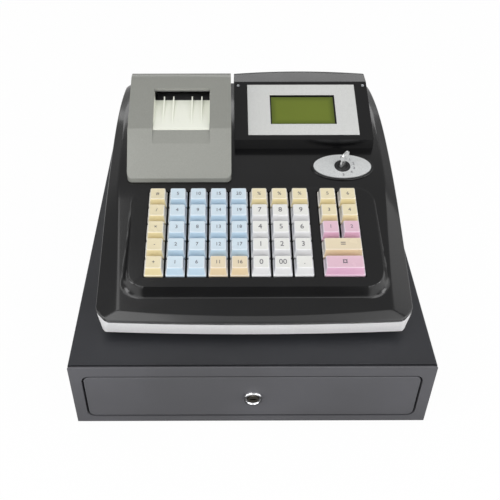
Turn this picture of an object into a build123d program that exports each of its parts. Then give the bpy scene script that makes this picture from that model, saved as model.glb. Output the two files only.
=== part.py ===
from build123d import *
import os
from math import asin, atan2, cos, degrees, pi, radians, sin, sqrt, tan

os.makedirs("parts", exist_ok=True)

# An electronic cash register standing on a steel cash drawer, in millimetres.
# X runs to the right, Y to the back and Z up; the origin is under the middle of the whole product, on the table.

# ---- driving dimensions: cash drawer -------------------------------------------------------------------------
CABINET_WIDTH = 335.0
CABINET_DEPTH = 372.0
CABINET_HEIGHT = 80.0
CABINET_SHEET = 1.2            # folded steel sheet
CABINET_BEND = 2.0             # outside radius of the folded top edges
FOOT_HEIGHT = 5.0
FOOT_RADIUS = 9.0
REGISTER_FOOT_INSET = 32.0
FOOT_INSET = 26.0              # from the case's edges to a foot's axis
FRAME_SIDE = 10.8              # width of the front frame's border
FRAME_TOP = 12.3
FRAME_BOTTOM = 7.8
FRAME_RETURN = 12.0            # folded lip round the frame's window
FRAME_CORNER = 8.0
SEAM_WIDTH = 2.2               # open seam between the case's top sheet and the front frame
SEAM_DEPTH = 2.6
SEAM_FLANGE = 9.0              # the frame's flange that closes the seam from below
PANEL_GAP = 1.9                # gap round the drawer's front panel
PANEL_DEPTH = 9.0
TUB_SHEET = 1.0
TUB_SIDE_ROOM = 27.5           # from the case's side to the tub, for its channel and the rail
TUB_REAR_ROOM = 25.0           # from the tub's back to the case's back, for the latch
TUB_FLOOR_GAP = 2.6            # under the tub, inside the frame's window
TUB_HEIGHT = 51.0
DRAWER_TRAVEL = 270.0
RAIL_SHEET = 1.2
RAIL_HEIGHT = 20.0
RAIL_DEPTH = 11.0              # how far a rail's flanges reach in from the case's wall
RAIL_MARGIN = 12.0             # rail's end to the inside of the case
GLIDE_GAP = 0.35               # running gap of the nylon glides in the rails
GLIDE_LENGTH = 46.0
STUD_GAP = 0.3                 # running gap of the rails' front studs in the drawer's channels
STUD_SETBACK = 8.0             # stud's axis behind the rail's front end
LOCK_SHIFT = 1.2               # lock's axis, to the right of the middle
LOCK_DROP = 42.6               # lock's axis, below the case's top
LOCK_FACE_RADIUS = 9.3
LOCK_PROUD = 4.0               # lock's face in front of the panel
LOCK_BODY_RADIUS = 8.0
LOCK_NUT = 2.4
CORE_RADIUS = 5.0
KEYWAY_WIDTH = 6.4
KEYWAY_HEIGHT = 1.6
KEYWAY_DEPTH = 8.0
CORE_FIT = 0.05                # radial running clearance of the core
CAM_LENGTH = 36.0
CAM_WIDTH = 10.0
CAM_THICK = 2.0
CAM_GAP = 0.2                  # between the cam and the lock's body
LOCK_WELL = 22.0               # room behind the tub's front wall for the lock
TRAY_GAP = 1.0
TRAY_WALL = 2.0
TRAY_HEIGHT = 47.0
TRAY_FLOOR = 2.0
NOTE_BAYS = 4
COIN_CUPS = 5
COIN_CUP_DEPTH = 98.0
COIN_SCOOP = 16.0              # radius of a coin cup's scooped bottom edges
CLIP_ROD_RADIUS = 1.5
CLIP_ROD_DROP = 8.0            # rod below the tray's rim
CLIP_ROD_SETBACK = 12.0        # rod in front of the tray's back wall
CLIP_FIT = 0.06
CLIP_HUB_RADIUS = 4.5
CLIP_WIDTH = 16.0
CLIP_ARM = 56.0
CLIP_PAD_RADIUS = 4.0
BOLT_RADIUS = 4.0
BOLT_TRAVEL = 6.0
BOLT_FIT = 0.08
BOLT_LENGTH = 14.0
LATCH_SETBACK = 8.5            # the bolt's axis behind the tub
LATCH_RISE = 38.0              # the latch above the tub's floor
LATCH_TAB_WIDTH = 26.0
LATCH_TAB_LENGTH = 16.5
LATCH_TAB_SHEET = 2.0
LATCH_TAB_DROP = 6.0           # the tab's upper face below the latch's level
LATCH_EYE_GAP = 1.0            # round the bolt in the tab's square eye
COIL_RADIUS = 6.8
COIL_HEIGHT = 12.0
YOKE_WIDTH = 30.0
YOKE_SHEET = 2.0
YOKE_HEIGHT = 16.0
LEAD_HOLE_RADIUS = 6.0
LEAD_HOLE_INSET = 40.0         # from the inside of the case's left side
VENT_WIDTH = 3.0
VENT_HEIGHT = 28.0
VENT_PITCH = 9.0
VENT_COUNT = 8
VENT_START = 60.0

# ---- driving dimensions: register body -----------------------------------------------------------------------
REGISTER_SHIFT = 2.0           # register's middle, to the right of the drawer's middle
BODY_WIDTH = 290.0
BODY_FRONT = 24.6              # foremost point, behind the drawer's front
BODY_BULGE = 3.4               # bow of the front edge
BODY_REAR = 365.0
CORNER_IN = 10.0               # from the body's side to where the front corner's cut begins
CORNER_DEPTH = 12.0            # depth of that cut
BODY_CORNER = 8.0
REAR_CORNER = 12.0
BAND_BOTTOM = 8.0              # silver base: underside above the drawer's top
BAND_TOP = 30.0
BASE_FRONT_IN = 8.0            # how far the base's foot stands inside its rim, in front
BASE_SIDE_IN = 3.8
BASE_REAR_IN = 3.4
BASE_CORNER_IN = 3.2           # the foot's corners are cut less than the rim's
BASE_CORNER_DEPTH = 3.6
BASE_CORNER = 3.0
BASE_WALL = 2.4
BASE_FLOOR = 2.2
SHELL_WALL = 2.5
LIP_HEIGHT = 0.8               # upright edge above the band, below the front chamfer
LIP_SLOPE = 38.0               # degrees of the front chamfer
EDGE_Y = 45.2                  # a point of the side wall's top edge
EDGE_Z = 36.3
EDGE_SLOPE = 19.4
EDGE_STRAIGHT = 120.0          # the edge is straight up to here
EDGE_BEND_RADIUS = 600.0
EDGE_BEND_END = 240.0
EDGE_TAIL_RADIUS = 310.0
DECK_Y = 30.2                  # a point of the deck's crease
DECK_Z = 35.2
DECK_SLOPE = 20.9
DECK_STRAIGHT = 140.0
DECK_BEND_RADIUS = 217.0
DECK_BEND_END = 165.0
DECK_TAIL_RADIUS = 420.0
CREASE_IN = 23.0               # the deck's crease fans out backwards from here
CREASE_FAN = 0.0695
CREASE_FAN_REAR = 0.021
ROOF_START = 12.0              # the roof's blank starts in front of the body, ends behind it
ROOF_OVERRUN = 11.0            # and reaches below it
ROOF_LOW = 16.0
BLANK_HEIGHT = 90.0            # blanks of the shell, above the band's top
NOSE_REACH = 85.0              # how far back the front chamfer could reach
NOSE_HEIGHT = 60.0

# ---- driving dimensions: keyboard ----------------------------------------------------------------------------
KEY_TILT = 15.2
KEY_PITCH_X = 19.75
KEY_PITCH_Y = 19.6
KEY_COLUMNS = 8
KEY_ROWS = 5
FIRST_KEY_X = -92.2            # middle of the first column
FRONT_ROW_Y = 68.2             # middle of the front row, on the keyboard's plane
FRONT_ROW_Z = 58.6
BLOCK_GAP = 7.45               # extra gap before the right-hand block
KEY_BASE = 17.6
KEY_TOP_WIDTH = 14.4
KEY_TOP_DEPTH = 13.0
KEY_TOP_SHIFT = 1.6            # the top face lies towards the back
KEY_HEIGHT = 8.6
KEY_SKIRT = 1.5                # skirt above and below the plane
KEY_LEDGE = 0.4                # the skirt's edge round the foot of the cap
KEY_BEVEL = 0.9                # of the cap's sloping corners
KEY_WALL = 1.2
KEY_STEM = 6.0
KEY_STEM_DROP = 10.0
STEM_GAP = 0.3
KEY_TRAVEL = 3.5
WINDOW_MARGIN = 1.0
KEY_PLATE_DROP = 5.6           # key plate's upper face below the plane
KEY_PLATE_THICK = 2.0
KEY_PLATE_RIM = 5.0
ISLAND_FRONT_MARGIN = 10.8     # from the keys' skirts to the island's edges
ISLAND_BACK_MARGIN = 5.2
ISLAND_SIDE_MARGIN = 16.8
ISLAND_SHIFT = 0.9             # the island's middle, to the right of the keys' middle
ISLAND_CORNER = 17.0
ISLAND_DRAFT = 27.0
ISLAND_DEPTH = 26.0

# ---- driving dimensions: printer -----------------------------------------------------------------------------
COVER_LEFT = -124.3
COVER_RIGHT = -20.3
COVER_FRONT = 164.6
COVER_LIP_Z = 90.2
COVER_CREASE_Y = 201.0
COVER_CREASE_Z = 125.5
COVER_BROW_Y = 258.4
COVER_BROW_Z = 147.9
COVER_TOP_RADIUS = 20.0
COVER_BACK_SLOPE = 66.0        # degrees that its back falls
COVER_SKIRT = 12.0             # the blank's reach below the lip
COVER_REBATE = 3.5             # the cover's overlap on the rim of its well
COVER_WALL = 2.2
COVER_CORNER = 5.0
COVER_GAP = 0.5                # above the deck
COVER_SWING = 75.0
MOUTH_LEFT = -99.4
MOUTH_RIGHT = -42.0
MOUTH_REAR = 248.5
LIP_RECESS_Y = 190.0           # foremost point of the scoop under the mouth
LIP_RECESS_DEPTH = 1.3
HINGE_RADIUS = 2.6
HINGE_Z = 98.9
HINGE_Y = 306.0
HINGE_PIN_RADIUS = 1.3
HINGE_FIT = 0.06
HINGE_LENGTH = 10.0
HINGE_SPREAD = 36.0            # from the cover's middle to a knuckle's middle
HINGE_ROOM = 1.9               # from the posts to the well
GUIDE_THICK = 1.5
GUIDE_SLOPE = 8.0
GUIDE_RIB = 1.2
PAPER_SLOT = 4.8               # height of the slot under the tear bar that the paper comes out through
GUIDE_RIBS = (-89.5, -79.8, -60.5, -50.5)
PAPER_WIDTH = 57.0
ROLL_RADIUS = 26.0
ROLL_CORE = 6.0
ROLL_Y = 256.0
ROLL_Z = 76.0
BUCKET_GAP = 1.6
BUCKET_WALL = 2.0
FRAME_PLATE = 2.5              # printer's side plates
CHASSIS_FRONT = 32.0           # their reach in front of the roll's axis, and behind it
CHASSIS_REAR = 30.0
CHASSIS_RISE = 12.0
CHASSIS_HEAD = 18.0            # their upper end, in front of the platen's axis
PLATEN_RADIUS = 7.0
PLATEN_SHAFT = 2.0
PLATEN_FIT = 0.05
PLATEN_Y = 266.0
PLATEN_Z = 121.0
GEAR_MODULE = 0.5
PLATEN_TEETH = 36
PINION_TEETH = 12
GEAR_WIDTH = 2.0
GEAR_BACKLASH = 0.25           # extra centre distance
MOTOR_ANGLE = 218.0            # direction from the platen's axis to the motor's, in the Y-Z plane
MOTOR_RADIUS = 10.5
MOTOR_DEPTH = 9.0
TEAR_PITCH = 1.5
TEAR_TOOTH = 1.2
TEAR_SHEET = 0.8

# ---- driving dimensions: display and mode lock ---------------------------------------------------------------
HOOD_LEFT = -16.5
HOOD_RIGHT = 127.0
HOOD_FRONT = 211.5
HOOD_FRONT_Z = 105.0
HOOD_SLOPE = 18.3
HOOD_BROW_Y = 287.5
HOOD_TOP_DEPTH = 19.7
HOOD_TOP_RADIUS = 14.0
HOOD_BACK_SLOPE = 66.0
HOOD_BOW = 5.4                 # its back is bowed: the ends stand this far forwards
HOOD_LOW = 88.0                # foot of its blank, below the deck
HOOD_RIM = 30.0                # from its walls to the opening below it
HOOD_WALL = 2.5
FASCIA_LEFT = -2.5
FASCIA_RIGHT = 113.0
FASCIA_START = 217.0
FASCIA_LENGTH = 69.0
FASCIA_THICK = 1.0
WINDOW_LEFT = 21.4
WINDOW_RIGHT = 90.4
WINDOW_START = 230.6
WINDOW_LENGTH = 40.1
LCD_DROP = 2.2                 # glass below the fascia's face
LCD_RIM = 3.0
CUSTOMER_WIDTH = 80.0
CUSTOMER_HEIGHT = 20.0
CUSTOMER_THICK = 1.5
OVAL_X = 92.5
OVAL_Y = 184.7
OVAL_TILT = 11.4
OVAL_LENGTH = 58.4
OVAL_WIDTH = 31.6
OVAL_THICK = 1.5
OVAL_RIM = 2.6
OVAL_GAP = 0.5
MODE_RADIUS = 8.0
MODE_PROUD = 0.2
MODE_DEPTH = 20.0
MODE_CORE_RADIUS = 5.2
KEY_BLADE_WIDTH = 7.0
KEY_BLADE_THICK = 2.0
KEY_BLADE_RISE = 5.8
KEY_BOW_WIDTH = 11.0
KEY_BOW_HEIGHT = 11.5
KEY_BOW_CORNER = 3.6
KEY_BOW_OFFSET = 2.2           # the bow leans to one side of the blade
KEY_RING_HOLE = 1.7
KEY_TURN = -42.0               # how the key stands at rest
SOCKET_X = 60.0
SOCKET_SPACING = 26.0
SOCKET_SIZE = 13.0
SOCKET_DEPTH = 11.0
SOCKET_DROP = 4.0              # below the base's rim
SOCKET_SETBACK = 3.6           # face in front of the register's back
SOCKET_BACK = 2.0
SOCKET_WALL = 1.6
INLET_PIN = 1.2
INLET_PIN_LENGTH = 6.0
INLET_PIN_SPACING = 4.4
BOARD_THICK = 1.6
BOARD_WIDTH = 150.0
BOARD_LENGTH = 130.0
BOARD_X = 45.0
BOARD_SETBACK = 100.0          # its middle, in front of the register's back
BOARD_RISE = 6.0               # above the base's floor
BOARD_POST_RADIUS = 3.0
BOARD_POST_INSET = 6.0
CHIP_SIZE = 24.0
CHIP_HEIGHT = 3.0
PACK_WIDTH = 40.0
PACK_LENGTH = 32.0
PACK_HEIGHT = 14.0
CAPACITOR_RADIUS = 6.0
CAPACITOR_HEIGHT = 16.0

# ---- places worked out from them -----------------------------------------------------------------------------
FRONT_Y = -(CABINET_DEPTH - LOCK_PROUD) / 2
BACK_Y = FRONT_Y + CABINET_DEPTH
CASE_Z = FOOT_HEIGHT
CASE_TOP = FOOT_HEIGHT + CABINET_HEIGHT
HALF_W = CABINET_WIDTH / 2
INNER_HALF = HALF_W - CABINET_SHEET
OPEN_HALF = HALF_W - FRAME_SIDE
LEAD_HOLE_X = LEAD_HOLE_INSET - INNER_HALF
OPEN_LOW = CASE_Z + FRAME_BOTTOM
OPEN_HIGH = CASE_TOP - FRAME_TOP
TUB_Z = OPEN_LOW + TUB_FLOOR_GAP
TUB_FRONT = FRONT_Y + PANEL_DEPTH
TUB_BACK = BACK_Y - TUB_REAR_ROOM
TUB_WIDTH = CABINET_WIDTH - 2 * TUB_SIDE_ROOM
RAIL_Z = TUB_Z + 18.0
RAIL_INNER = INNER_HALF - RAIL_DEPTH
CARRIER_HALF = RAIL_INNER - 1.5
CARRIER_Z = RAIL_Z + RAIL_SHEET + 1
CARRIER_HEIGHT = RAIL_HEIGHT - 2 * RAIL_SHEET - 2
LOCK_X = LOCK_SHIFT
LOCK_Z = CASE_TOP - LOCK_DROP
LOCK_BACK = TUB_FRONT + TUB_SHEET + LOCK_NUT
TRAY_FRONT = TUB_FRONT + LOCK_WELL
TRAY_BACK = TUB_BACK - TUB_SHEET - TRAY_GAP
TRAY_HALF = TUB_WIDTH / 2 - TUB_SHEET - TRAY_GAP
TRAY_Z = TUB_Z + TUB_SHEET
TRAY_TOP = TRAY_Z + TRAY_HEIGHT
COIN_BACK = TRAY_FRONT + TRAY_WALL + COIN_CUP_DEPTH
CLIP_Y = TRAY_BACK - CLIP_ROD_SETBACK
CLIP_Z = TRAY_TOP - CLIP_ROD_DROP
REGISTER = Pos(REGISTER_SHIFT, FRONT_Y, CASE_TOP)
BOARD = Pos(0, FRONT_ROW_Y, FRONT_ROW_Z) * Rot(KEY_TILT, 0, 0)
COVER_MIDDLE = (COVER_LEFT + COVER_RIGHT) / 2
PAPER_X = (MOUTH_LEFT + MOUTH_RIGHT) / 2
BLOCK_X = FIRST_KEY_X + KEY_COLUMNS * KEY_PITCH_X + BLOCK_GAP
KEYS_MIDDLE = (FIRST_KEY_X + BLOCK_X + KEY_PITCH_X) / 2
ISLAND_HALF = KEYS_MIDDLE - FIRST_KEY_X + KEY_BASE / 2 + ISLAND_SIDE_MARGIN
ISLAND_START = -KEY_BASE / 2 - ISLAND_FRONT_MARGIN
ISLAND_LENGTH = (KEY_ROWS - 1) * KEY_PITCH_Y + KEY_BASE + ISLAND_FRONT_MARGIN + ISLAND_BACK_MARGIN
LATCH_Y = TUB_BACK + LATCH_SETBACK
LATCH_Z = TUB_Z + LATCH_RISE
CORNER_HALF = BODY_WIDTH / 2 - CORNER_IN
CREASE_HALF = BODY_WIDTH / 2 - CREASE_IN
ROOF_END = BODY_REAR + ROOF_OVERRUN
BOARD_Y = BODY_REAR - BOARD_SETBACK
EDGE_BENDS = ((EDGE_BEND_RADIUS, EDGE_BEND_END), (EDGE_TAIL_RADIUS, ROOF_END))
DECK_BENDS = ((DECK_BEND_RADIUS, DECK_BEND_END), (DECK_TAIL_RADIUS, ROOF_END))


def block(x0, x1, y0, y1, z0, z1):
    """A box between two corners."""
    return Pos((x0 + x1) / 2, (y0 + y1) / 2, (z0 + z1) / 2) * Box(x1 - x0, y1 - y0, z1 - z0)


def rod_x(x0, x1, y, z, radius):
    """A cylinder along X from x0 to x1."""
    return Pos((x0 + x1) / 2, y, z) * Rot(0, 90, 0) * Cylinder(radius, x1 - x0)


def rod_y(x, y0, y1, z, radius):
    """A cylinder along Y from y0 to y1."""
    return Pos(x, (y0 + y1) / 2, z) * Rot(90, 0, 0) * Cylinder(radius, y1 - y0)


def slab_x(outline, x0, x1):
    """A wire drawn in (y, z), carried along X from x0 to x1."""
    plane = Plane(origin=(x0, 0, 0), x_dir=(0, 1, 0), z_dir=(1, 0, 0))
    return extrude(plane.location * make_face(outline), amount=x1 - x0, dir=(1, 0, 0))


def closed(points):
    """A closed wire of straight edges through points in the drawing plane."""
    return Wire(Polyline(*points, close=True).edges())


def roof_outline(y_ref, z_ref, slope, straight_to, bends, drop):
    """A roof seen from the side, as (start, middle or None, end): a straight rise, easing bends, and the way back."""
    angle = radians(slope)
    start = (ROOF_START, z_ref - drop - (y_ref - ROOF_START) * tan(angle))
    at = (straight_to, z_ref - drop + (straight_to - y_ref) * tan(angle))
    pieces = [(start, None, at)]
    for radius, end_y in bends:
        end_angle = asin(sin(angle) - (end_y - at[0]) / radius)
        on_arc = []
        for turned in ((angle + end_angle) / 2, end_angle):
            on_arc.append((at[0] + radius * (sin(angle) - sin(turned)), at[1] + radius * (cos(turned) - cos(angle))))
        pieces.append((at, on_arc[0], on_arc[1]))
        at, angle = on_arc[1], end_angle
    low_back = (at[0], ROOF_LOW)
    low_front = (ROOF_START, ROOF_LOW)
    return pieces + [(at, None, low_back), (low_back, None, low_front), (low_front, None, start)]


def roof_wire(outline, across):
    """A roof's outline stood up in space; across gives its distance from the middle at each y."""
    edges = []
    for points in outline:
        placed = [(across(p[0]), p[0], p[1]) for p in points if p is not None]
        line = Line(*placed) if len(placed) == 2 else ThreePointArc(*placed)
        edges += line.edges()
    return Wire(edges)


def deck_solid(rise):
    """Everything below the deck's surface raised by rise, right across the register."""
    outline = roof_outline(DECK_Y, DECK_Z, DECK_SLOPE, DECK_STRAIGHT, DECK_BENDS, -rise)
    ends = [roof_wire(outline, lambda y, x=x: x) for x in (-BODY_WIDTH, BODY_WIDTH)]
    return Solid.make_loft(ends, ruled=True)


def deck_height(y):
    """Height of the deck's surface above the drawer's top, at a distance behind the drawer's front."""
    angle = radians(DECK_SLOPE)
    if y <= DECK_STRAIGHT:
        return DECK_Z + (y - DECK_Y) * tan(angle)
    at_y, at_z = DECK_STRAIGHT, DECK_Z + (DECK_STRAIGHT - DECK_Y) * tan(angle)
    for radius, end_y in DECK_BENDS:
        stop = min(y, end_y)
        turned = asin(sin(angle) - (stop - at_y) / radius)
        at_z += radius * (cos(turned) - cos(angle))
        at_y, angle = stop, turned
    return at_z


def crease(y):
    """Half-width of the deck at a distance behind the drawer's front: it fans out, less steeply past the keys."""
    bend = DECK_BENDS[0][1]
    if y <= bend:
        return CREASE_HALF + CREASE_FAN * y
    return CREASE_HALF + CREASE_FAN * bend + CREASE_FAN_REAR * (y - bend)


def roof(drop, inset):
    """The solid under the deck and the two bevels beside it, lowered by drop and drawn in by inset."""
    side = BODY_WIDTH / 2 - inset
    edge = roof_outline(EDGE_Y, EDGE_Z, EDGE_SLOPE, EDGE_STRAIGHT, EDGE_BENDS, drop)
    deck = roof_outline(DECK_Y, DECK_Z, DECK_SLOPE, DECK_STRAIGHT, DECK_BENDS, drop)
    ring = [
        roof_wire(edge, lambda y: -side),
        roof_wire(deck, lambda y: inset / 2 - crease(y)),
        roof_wire(deck, lambda y: crease(y) - inset / 2),
        roof_wire(edge, lambda y: side),
    ]
    return Solid.make_loft(ring, ruled=True)


def plan_face(side, front, corner, cut, radius, back, rear_radius):
    """A plan of the register: a bowed front, cut and rounded front corners and a rounded back."""
    bow_y = front + BODY_BULGE
    cut_y = bow_y + cut
    bow = ThreePointArc((-corner, bow_y), (0, front), (corner, bow_y))
    rest = Polyline((corner, bow_y), (side, cut_y), (side, back), (-side, back), (-side, cut_y), (-corner, bow_y))
    face = make_face(Wire(bow.edges() + rest.edges()))
    corners = face.vertices().sort_by(Axis.Y)
    face = fillet(corners[-2:], rear_radius)
    cuts = [v for v in face.vertices() if abs(v.Y - cut_y) < 0.01 or abs(v.Y - bow_y) < 0.01]
    return fillet(cuts, radius)


def body_face(inset):
    """The register's plan at the top of its silver base, drawn in by inset."""
    return plan_face(
        BODY_WIDTH / 2 - inset, BODY_FRONT + inset, CORNER_HALF - inset / 2, CORNER_DEPTH, BODY_CORNER,
        BODY_REAR - inset, REAR_CORNER - inset,
    )


def foot_face(inset):
    """The plan of the silver base's foot, drawn in by inset: it stands inside the rim, most of all in front."""
    side = BODY_WIDTH / 2 - BASE_SIDE_IN
    return plan_face(
        side - inset, BODY_FRONT + BASE_FRONT_IN + inset, side - BASE_CORNER_IN - inset / 2, BASE_CORNER_DEPTH,
        BASE_CORNER, BODY_REAR - BASE_REAR_IN - inset, REAR_CORNER - inset,
    )


def base_loft(inset, low):
    """The base's body between its foot's plan, at a height, and its rim's."""
    foot = Pos(0, 0, low) * foot_face(inset)
    rim = Pos(0, 0, BAND_TOP) * body_face(inset)
    return Solid.make_loft([foot.wire(), rim.wire()], ruled=True)


def body_prism(inset, low, high):
    """The plan outline raised from one height to another."""
    return extrude(Pos(0, 0, low) * body_face(inset), amount=high - low)


# ==== cash drawer =============================================================================================
def cabinet_shell():
    """Folded steel: top, two sides and a back, open at the front and below, with a lead hole in the back."""
    front = FRONT_Y + CABINET_SHEET
    outer = block(-HALF_W, HALF_W, front, BACK_Y, CASE_Z, CASE_TOP)
    top_edges = outer.edges().filter_by(Axis.Y).sort_by(Axis.Z)[-2:]
    outer = fillet(top_edges, CABINET_BEND)
    inner = block(-INNER_HALF, INNER_HALF, front - 1, BACK_Y - CABINET_SHEET, CASE_Z - 1, CASE_TOP - CABINET_SHEET)
    seam = block(-HALF_W - 1, HALF_W + 1, front - 1, front + SEAM_WIDTH, CASE_TOP - SEAM_DEPTH, CASE_TOP + 1)
    middle_z = CASE_Z + CABINET_HEIGHT / 2
    lead_hole = rod_y(LEAD_HOLE_X, BACK_Y - CABINET_SHEET - 1, BACK_Y + 1, middle_z, LEAD_HOLE_RADIUS)
    vents = []
    for i in range(VENT_COUNT):
        x = VENT_START + i * VENT_PITCH
        vents.append(block(x, x + VENT_WIDTH, BACK_Y - CABINET_SHEET - 1, BACK_Y + 1,
                           middle_z - VENT_HEIGHT / 2, middle_z + VENT_HEIGHT / 2))
    return outer - inner - seam - lead_hole - vents


def front_frame():
    """The front frame: a flat border with a rounded window, a lip folded back round it and a flange below the seam."""
    plate = block(-HALF_W, HALF_W, FRONT_Y, FRONT_Y + CABINET_SHEET, CASE_Z, CASE_TOP)
    plate = fillet(plate.edges().filter_by(Axis.Y).sort_by(Axis.Z)[-2:], CABINET_BEND)
    plate = fillet(plate.edges().group_by(Axis.Y)[0].sort_by(Axis.Z)[-1], CABINET_SHEET / 2)
    flange_top = CASE_TOP - SEAM_DEPTH
    plate += block(-INNER_HALF, INNER_HALF, FRONT_Y, FRONT_Y + SEAM_FLANGE, flange_top - CABINET_SHEET, flange_top)
    middle_z = (OPEN_LOW + OPEN_HIGH) / 2
    height = OPEN_HIGH - OPEN_LOW

    def window(grow, y0, y1):
        shape = RectangleRounded(2 * (OPEN_HALF + grow), height + 2 * grow, FRAME_CORNER + grow)
        return extrude(Pos(0, y0, middle_z) * Rot(90, 0, 0) * shape, amount=-(y1 - y0))

    lip = window(CABINET_SHEET, FRONT_Y, FRONT_Y + FRAME_RETURN)
    return plate + lip - window(0, FRONT_Y - 1, FRONT_Y + FRAME_RETURN + 1)


def base_pan():
    """The bottom sheet, folded up at the sides and the back."""
    back = BACK_Y - CABINET_SHEET
    front = FRONT_Y + CABINET_SHEET
    outer = block(-INNER_HALF, INNER_HALF, front, back, CASE_Z, CASE_Z + FRAME_BOTTOM - CABINET_SHEET - 1)
    inner = block(
        -INNER_HALF + CABINET_SHEET, INNER_HALF - CABINET_SHEET, front - 1, back - CABINET_SHEET,
        CASE_Z + CABINET_SHEET, CASE_Z + FRAME_BOTTOM,
    )
    return outer - inner


def foot(radius, height):
    """A turned rubber foot: wider where it meets the sheet, with a chamfered tread."""
    blank = Pos(0, 0, height / 2) * Cylinder(radius, height)
    return chamfer(blank.edges().sort_by(Axis.Z)[0], height / 4)


def rubber_feet():
    """Four feet under the drawer and four under the register, all pressed into their sheets."""
    feet = []
    for sx in (-1, 1):
        for y in (FRONT_Y + FOOT_INSET, BACK_Y - FOOT_INSET):
            feet.append(Pos(sx * (HALF_W - FOOT_INSET), y, 0) * foot(FOOT_RADIUS, FOOT_HEIGHT))
        for y in (BODY_FRONT + REGISTER_FOOT_INSET, BODY_REAR - REGISTER_FOOT_INSET):
            place = REGISTER * Pos(sx * (BODY_WIDTH / 2 - REGISTER_FOOT_INSET), y, 0)
            feet.append(place * foot(FOOT_RADIUS, BAND_BOTTOM))
    return feet


def slide_rails():
    """A folded channel on each side wall for the drawer's rear glides, with a stud that carries the drawer's front."""
    rails = []
    y0 = FRONT_Y + RAIL_MARGIN
    y1 = BACK_Y - CABINET_SHEET - RAIL_MARGIN
    for sx in (-1, 1):
        x0, x1 = sorted((sx * RAIL_INNER, sx * INNER_HALF))
        g0, g1 = sorted((sx * (RAIL_INNER - 1), sx * (INNER_HALF - RAIL_SHEET)))
        channel = block(x0, x1, y0, y1, RAIL_Z, RAIL_Z + RAIL_HEIGHT)
        groove = block(g0, g1, y0 - 1, y1 + 1, RAIL_Z + RAIL_SHEET, RAIL_Z + RAIL_HEIGHT - RAIL_SHEET)
        stud_radius = CARRIER_HEIGHT / 2 - TUB_SHEET - STUD_GAP
        stud = sorted((sx * (TUB_WIDTH / 2 + TUB_SHEET + 1), sx * INNER_HALF))
        rails.append(channel - groove + rod_x(*stud, y0 + STUD_SETBACK, RAIL_Z + RAIL_HEIGHT / 2, stud_radius))
    return rails


def drawer_tub():
    """The welded sheet tub: floor, four walls and a channel along each side; the latch tab is spot-welded on behind."""
    half = TUB_WIDTH / 2
    outer = block(-half, half, TUB_FRONT, TUB_BACK, TUB_Z, TUB_Z + TUB_HEIGHT)
    inner = block(
        -half + TUB_SHEET, half - TUB_SHEET, TUB_FRONT + TUB_SHEET, TUB_BACK - TUB_SHEET,
        TUB_Z + TUB_SHEET, TUB_Z + TUB_HEIGHT + 1,
    )
    tub = outer - inner
    carrier_top = CARRIER_Z + CARRIER_HEIGHT
    for sx in (-1, 1):
        x0, x1 = sorted((sx * half, sx * CARRIER_HALF))
        p0, p1 = sorted((sx * (half + TUB_SHEET), sx * (CARRIER_HALF + 1)))
        carrier = block(x0, x1, TUB_FRONT + 4, TUB_BACK, CARRIER_Z, carrier_top)
        hollow = block(p0, p1, TUB_FRONT + 3, TUB_BACK + 1, CARRIER_Z + TUB_SHEET, carrier_top - TUB_SHEET)
        tub += carrier - hollow
    tab_z = LATCH_Z - LATCH_TAB_DROP
    half_tab = LATCH_TAB_WIDTH / 2
    eye = BOLT_RADIUS + LATCH_EYE_GAP
    tab = block(-half_tab, half_tab, TUB_BACK, TUB_BACK + LATCH_TAB_LENGTH, tab_z - LATCH_TAB_SHEET, tab_z)
    slot = block(-eye, eye, LATCH_Y - eye, LATCH_Y + eye, tab_z - LATCH_TAB_SHEET - 1, tab_z + 1)
    lock_hole = rod_y(LOCK_X, TUB_FRONT - 1, TUB_FRONT + 2, LOCK_Z, LOCK_BODY_RADIUS)
    return [tub - lock_hole, tab - slot]


def drawer_front():
    """The drawer's front panel: a shallow pan with its edges folded back, bored for the lock."""
    width = 2 * (OPEN_HALF - PANEL_GAP)
    height = OPEN_HIGH - OPEN_LOW - 2 * PANEL_GAP
    corner = FRAME_CORNER - PANEL_GAP
    middle_z = (OPEN_LOW + OPEN_HIGH) / 2

    def pan(shrink, y0, y1):
        shape = RectangleRounded(width - 2 * shrink, height - 2 * shrink, corner - shrink)
        return extrude(Pos(0, y0, middle_z) * Rot(90, 0, 0) * shape, amount=-(y1 - y0))

    shell = pan(0, FRONT_Y, FRONT_Y + PANEL_DEPTH)
    shell = fillet(shell.edges().group_by(Axis.Y)[0], 0.8)
    hollow = pan(CABINET_SHEET, FRONT_Y + CABINET_SHEET, FRONT_Y + PANEL_DEPTH + 1)
    bore = rod_y(LOCK_X, FRONT_Y - 1, FRONT_Y + 5, LOCK_Z, LOCK_BODY_RADIUS)
    return shell - hollow - bore


def drawer_glides():
    """Nylon blocks in the back ends of the drawer's channels, reaching out into the case's rails."""
    glides = []
    y0, y1 = TUB_BACK - GLIDE_LENGTH, TUB_BACK
    low = CARRIER_Z + TUB_SHEET + 0.05
    high = CARRIER_Z + CARRIER_HEIGHT - TUB_SHEET - 0.05
    for sx in (-1, 1):
        neck = sorted((sx * (TUB_WIDTH / 2 + TUB_SHEET), sx * (CARRIER_HALF + 1)))
        head = sorted((sx * (CARRIER_HALF + 0.3), sx * (INNER_HALF - RAIL_SHEET - GLIDE_GAP)))
        runner = block(*head, y0, y1, RAIL_Z + RAIL_SHEET + GLIDE_GAP, RAIL_Z + RAIL_HEIGHT - RAIL_SHEET - GLIDE_GAP)
        runner = chamfer(runner.edges().filter_by(Axis.X), 2)
        glides.append(runner + block(*neck, y0 + 2, y1 - 2, low, high))
    return glides


def tray_bays():
    """The cash tray's note bays as (x0, x1) pairs."""
    clear = 2 * TRAY_HALF - TRAY_WALL * (NOTE_BAYS + 1)
    width = clear / NOTE_BAYS
    return [(-TRAY_HALF + TRAY_WALL + i * (width + TRAY_WALL),
             -TRAY_HALF + (i + 1) * (width + TRAY_WALL)) for i in range(NOTE_BAYS)]


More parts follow.
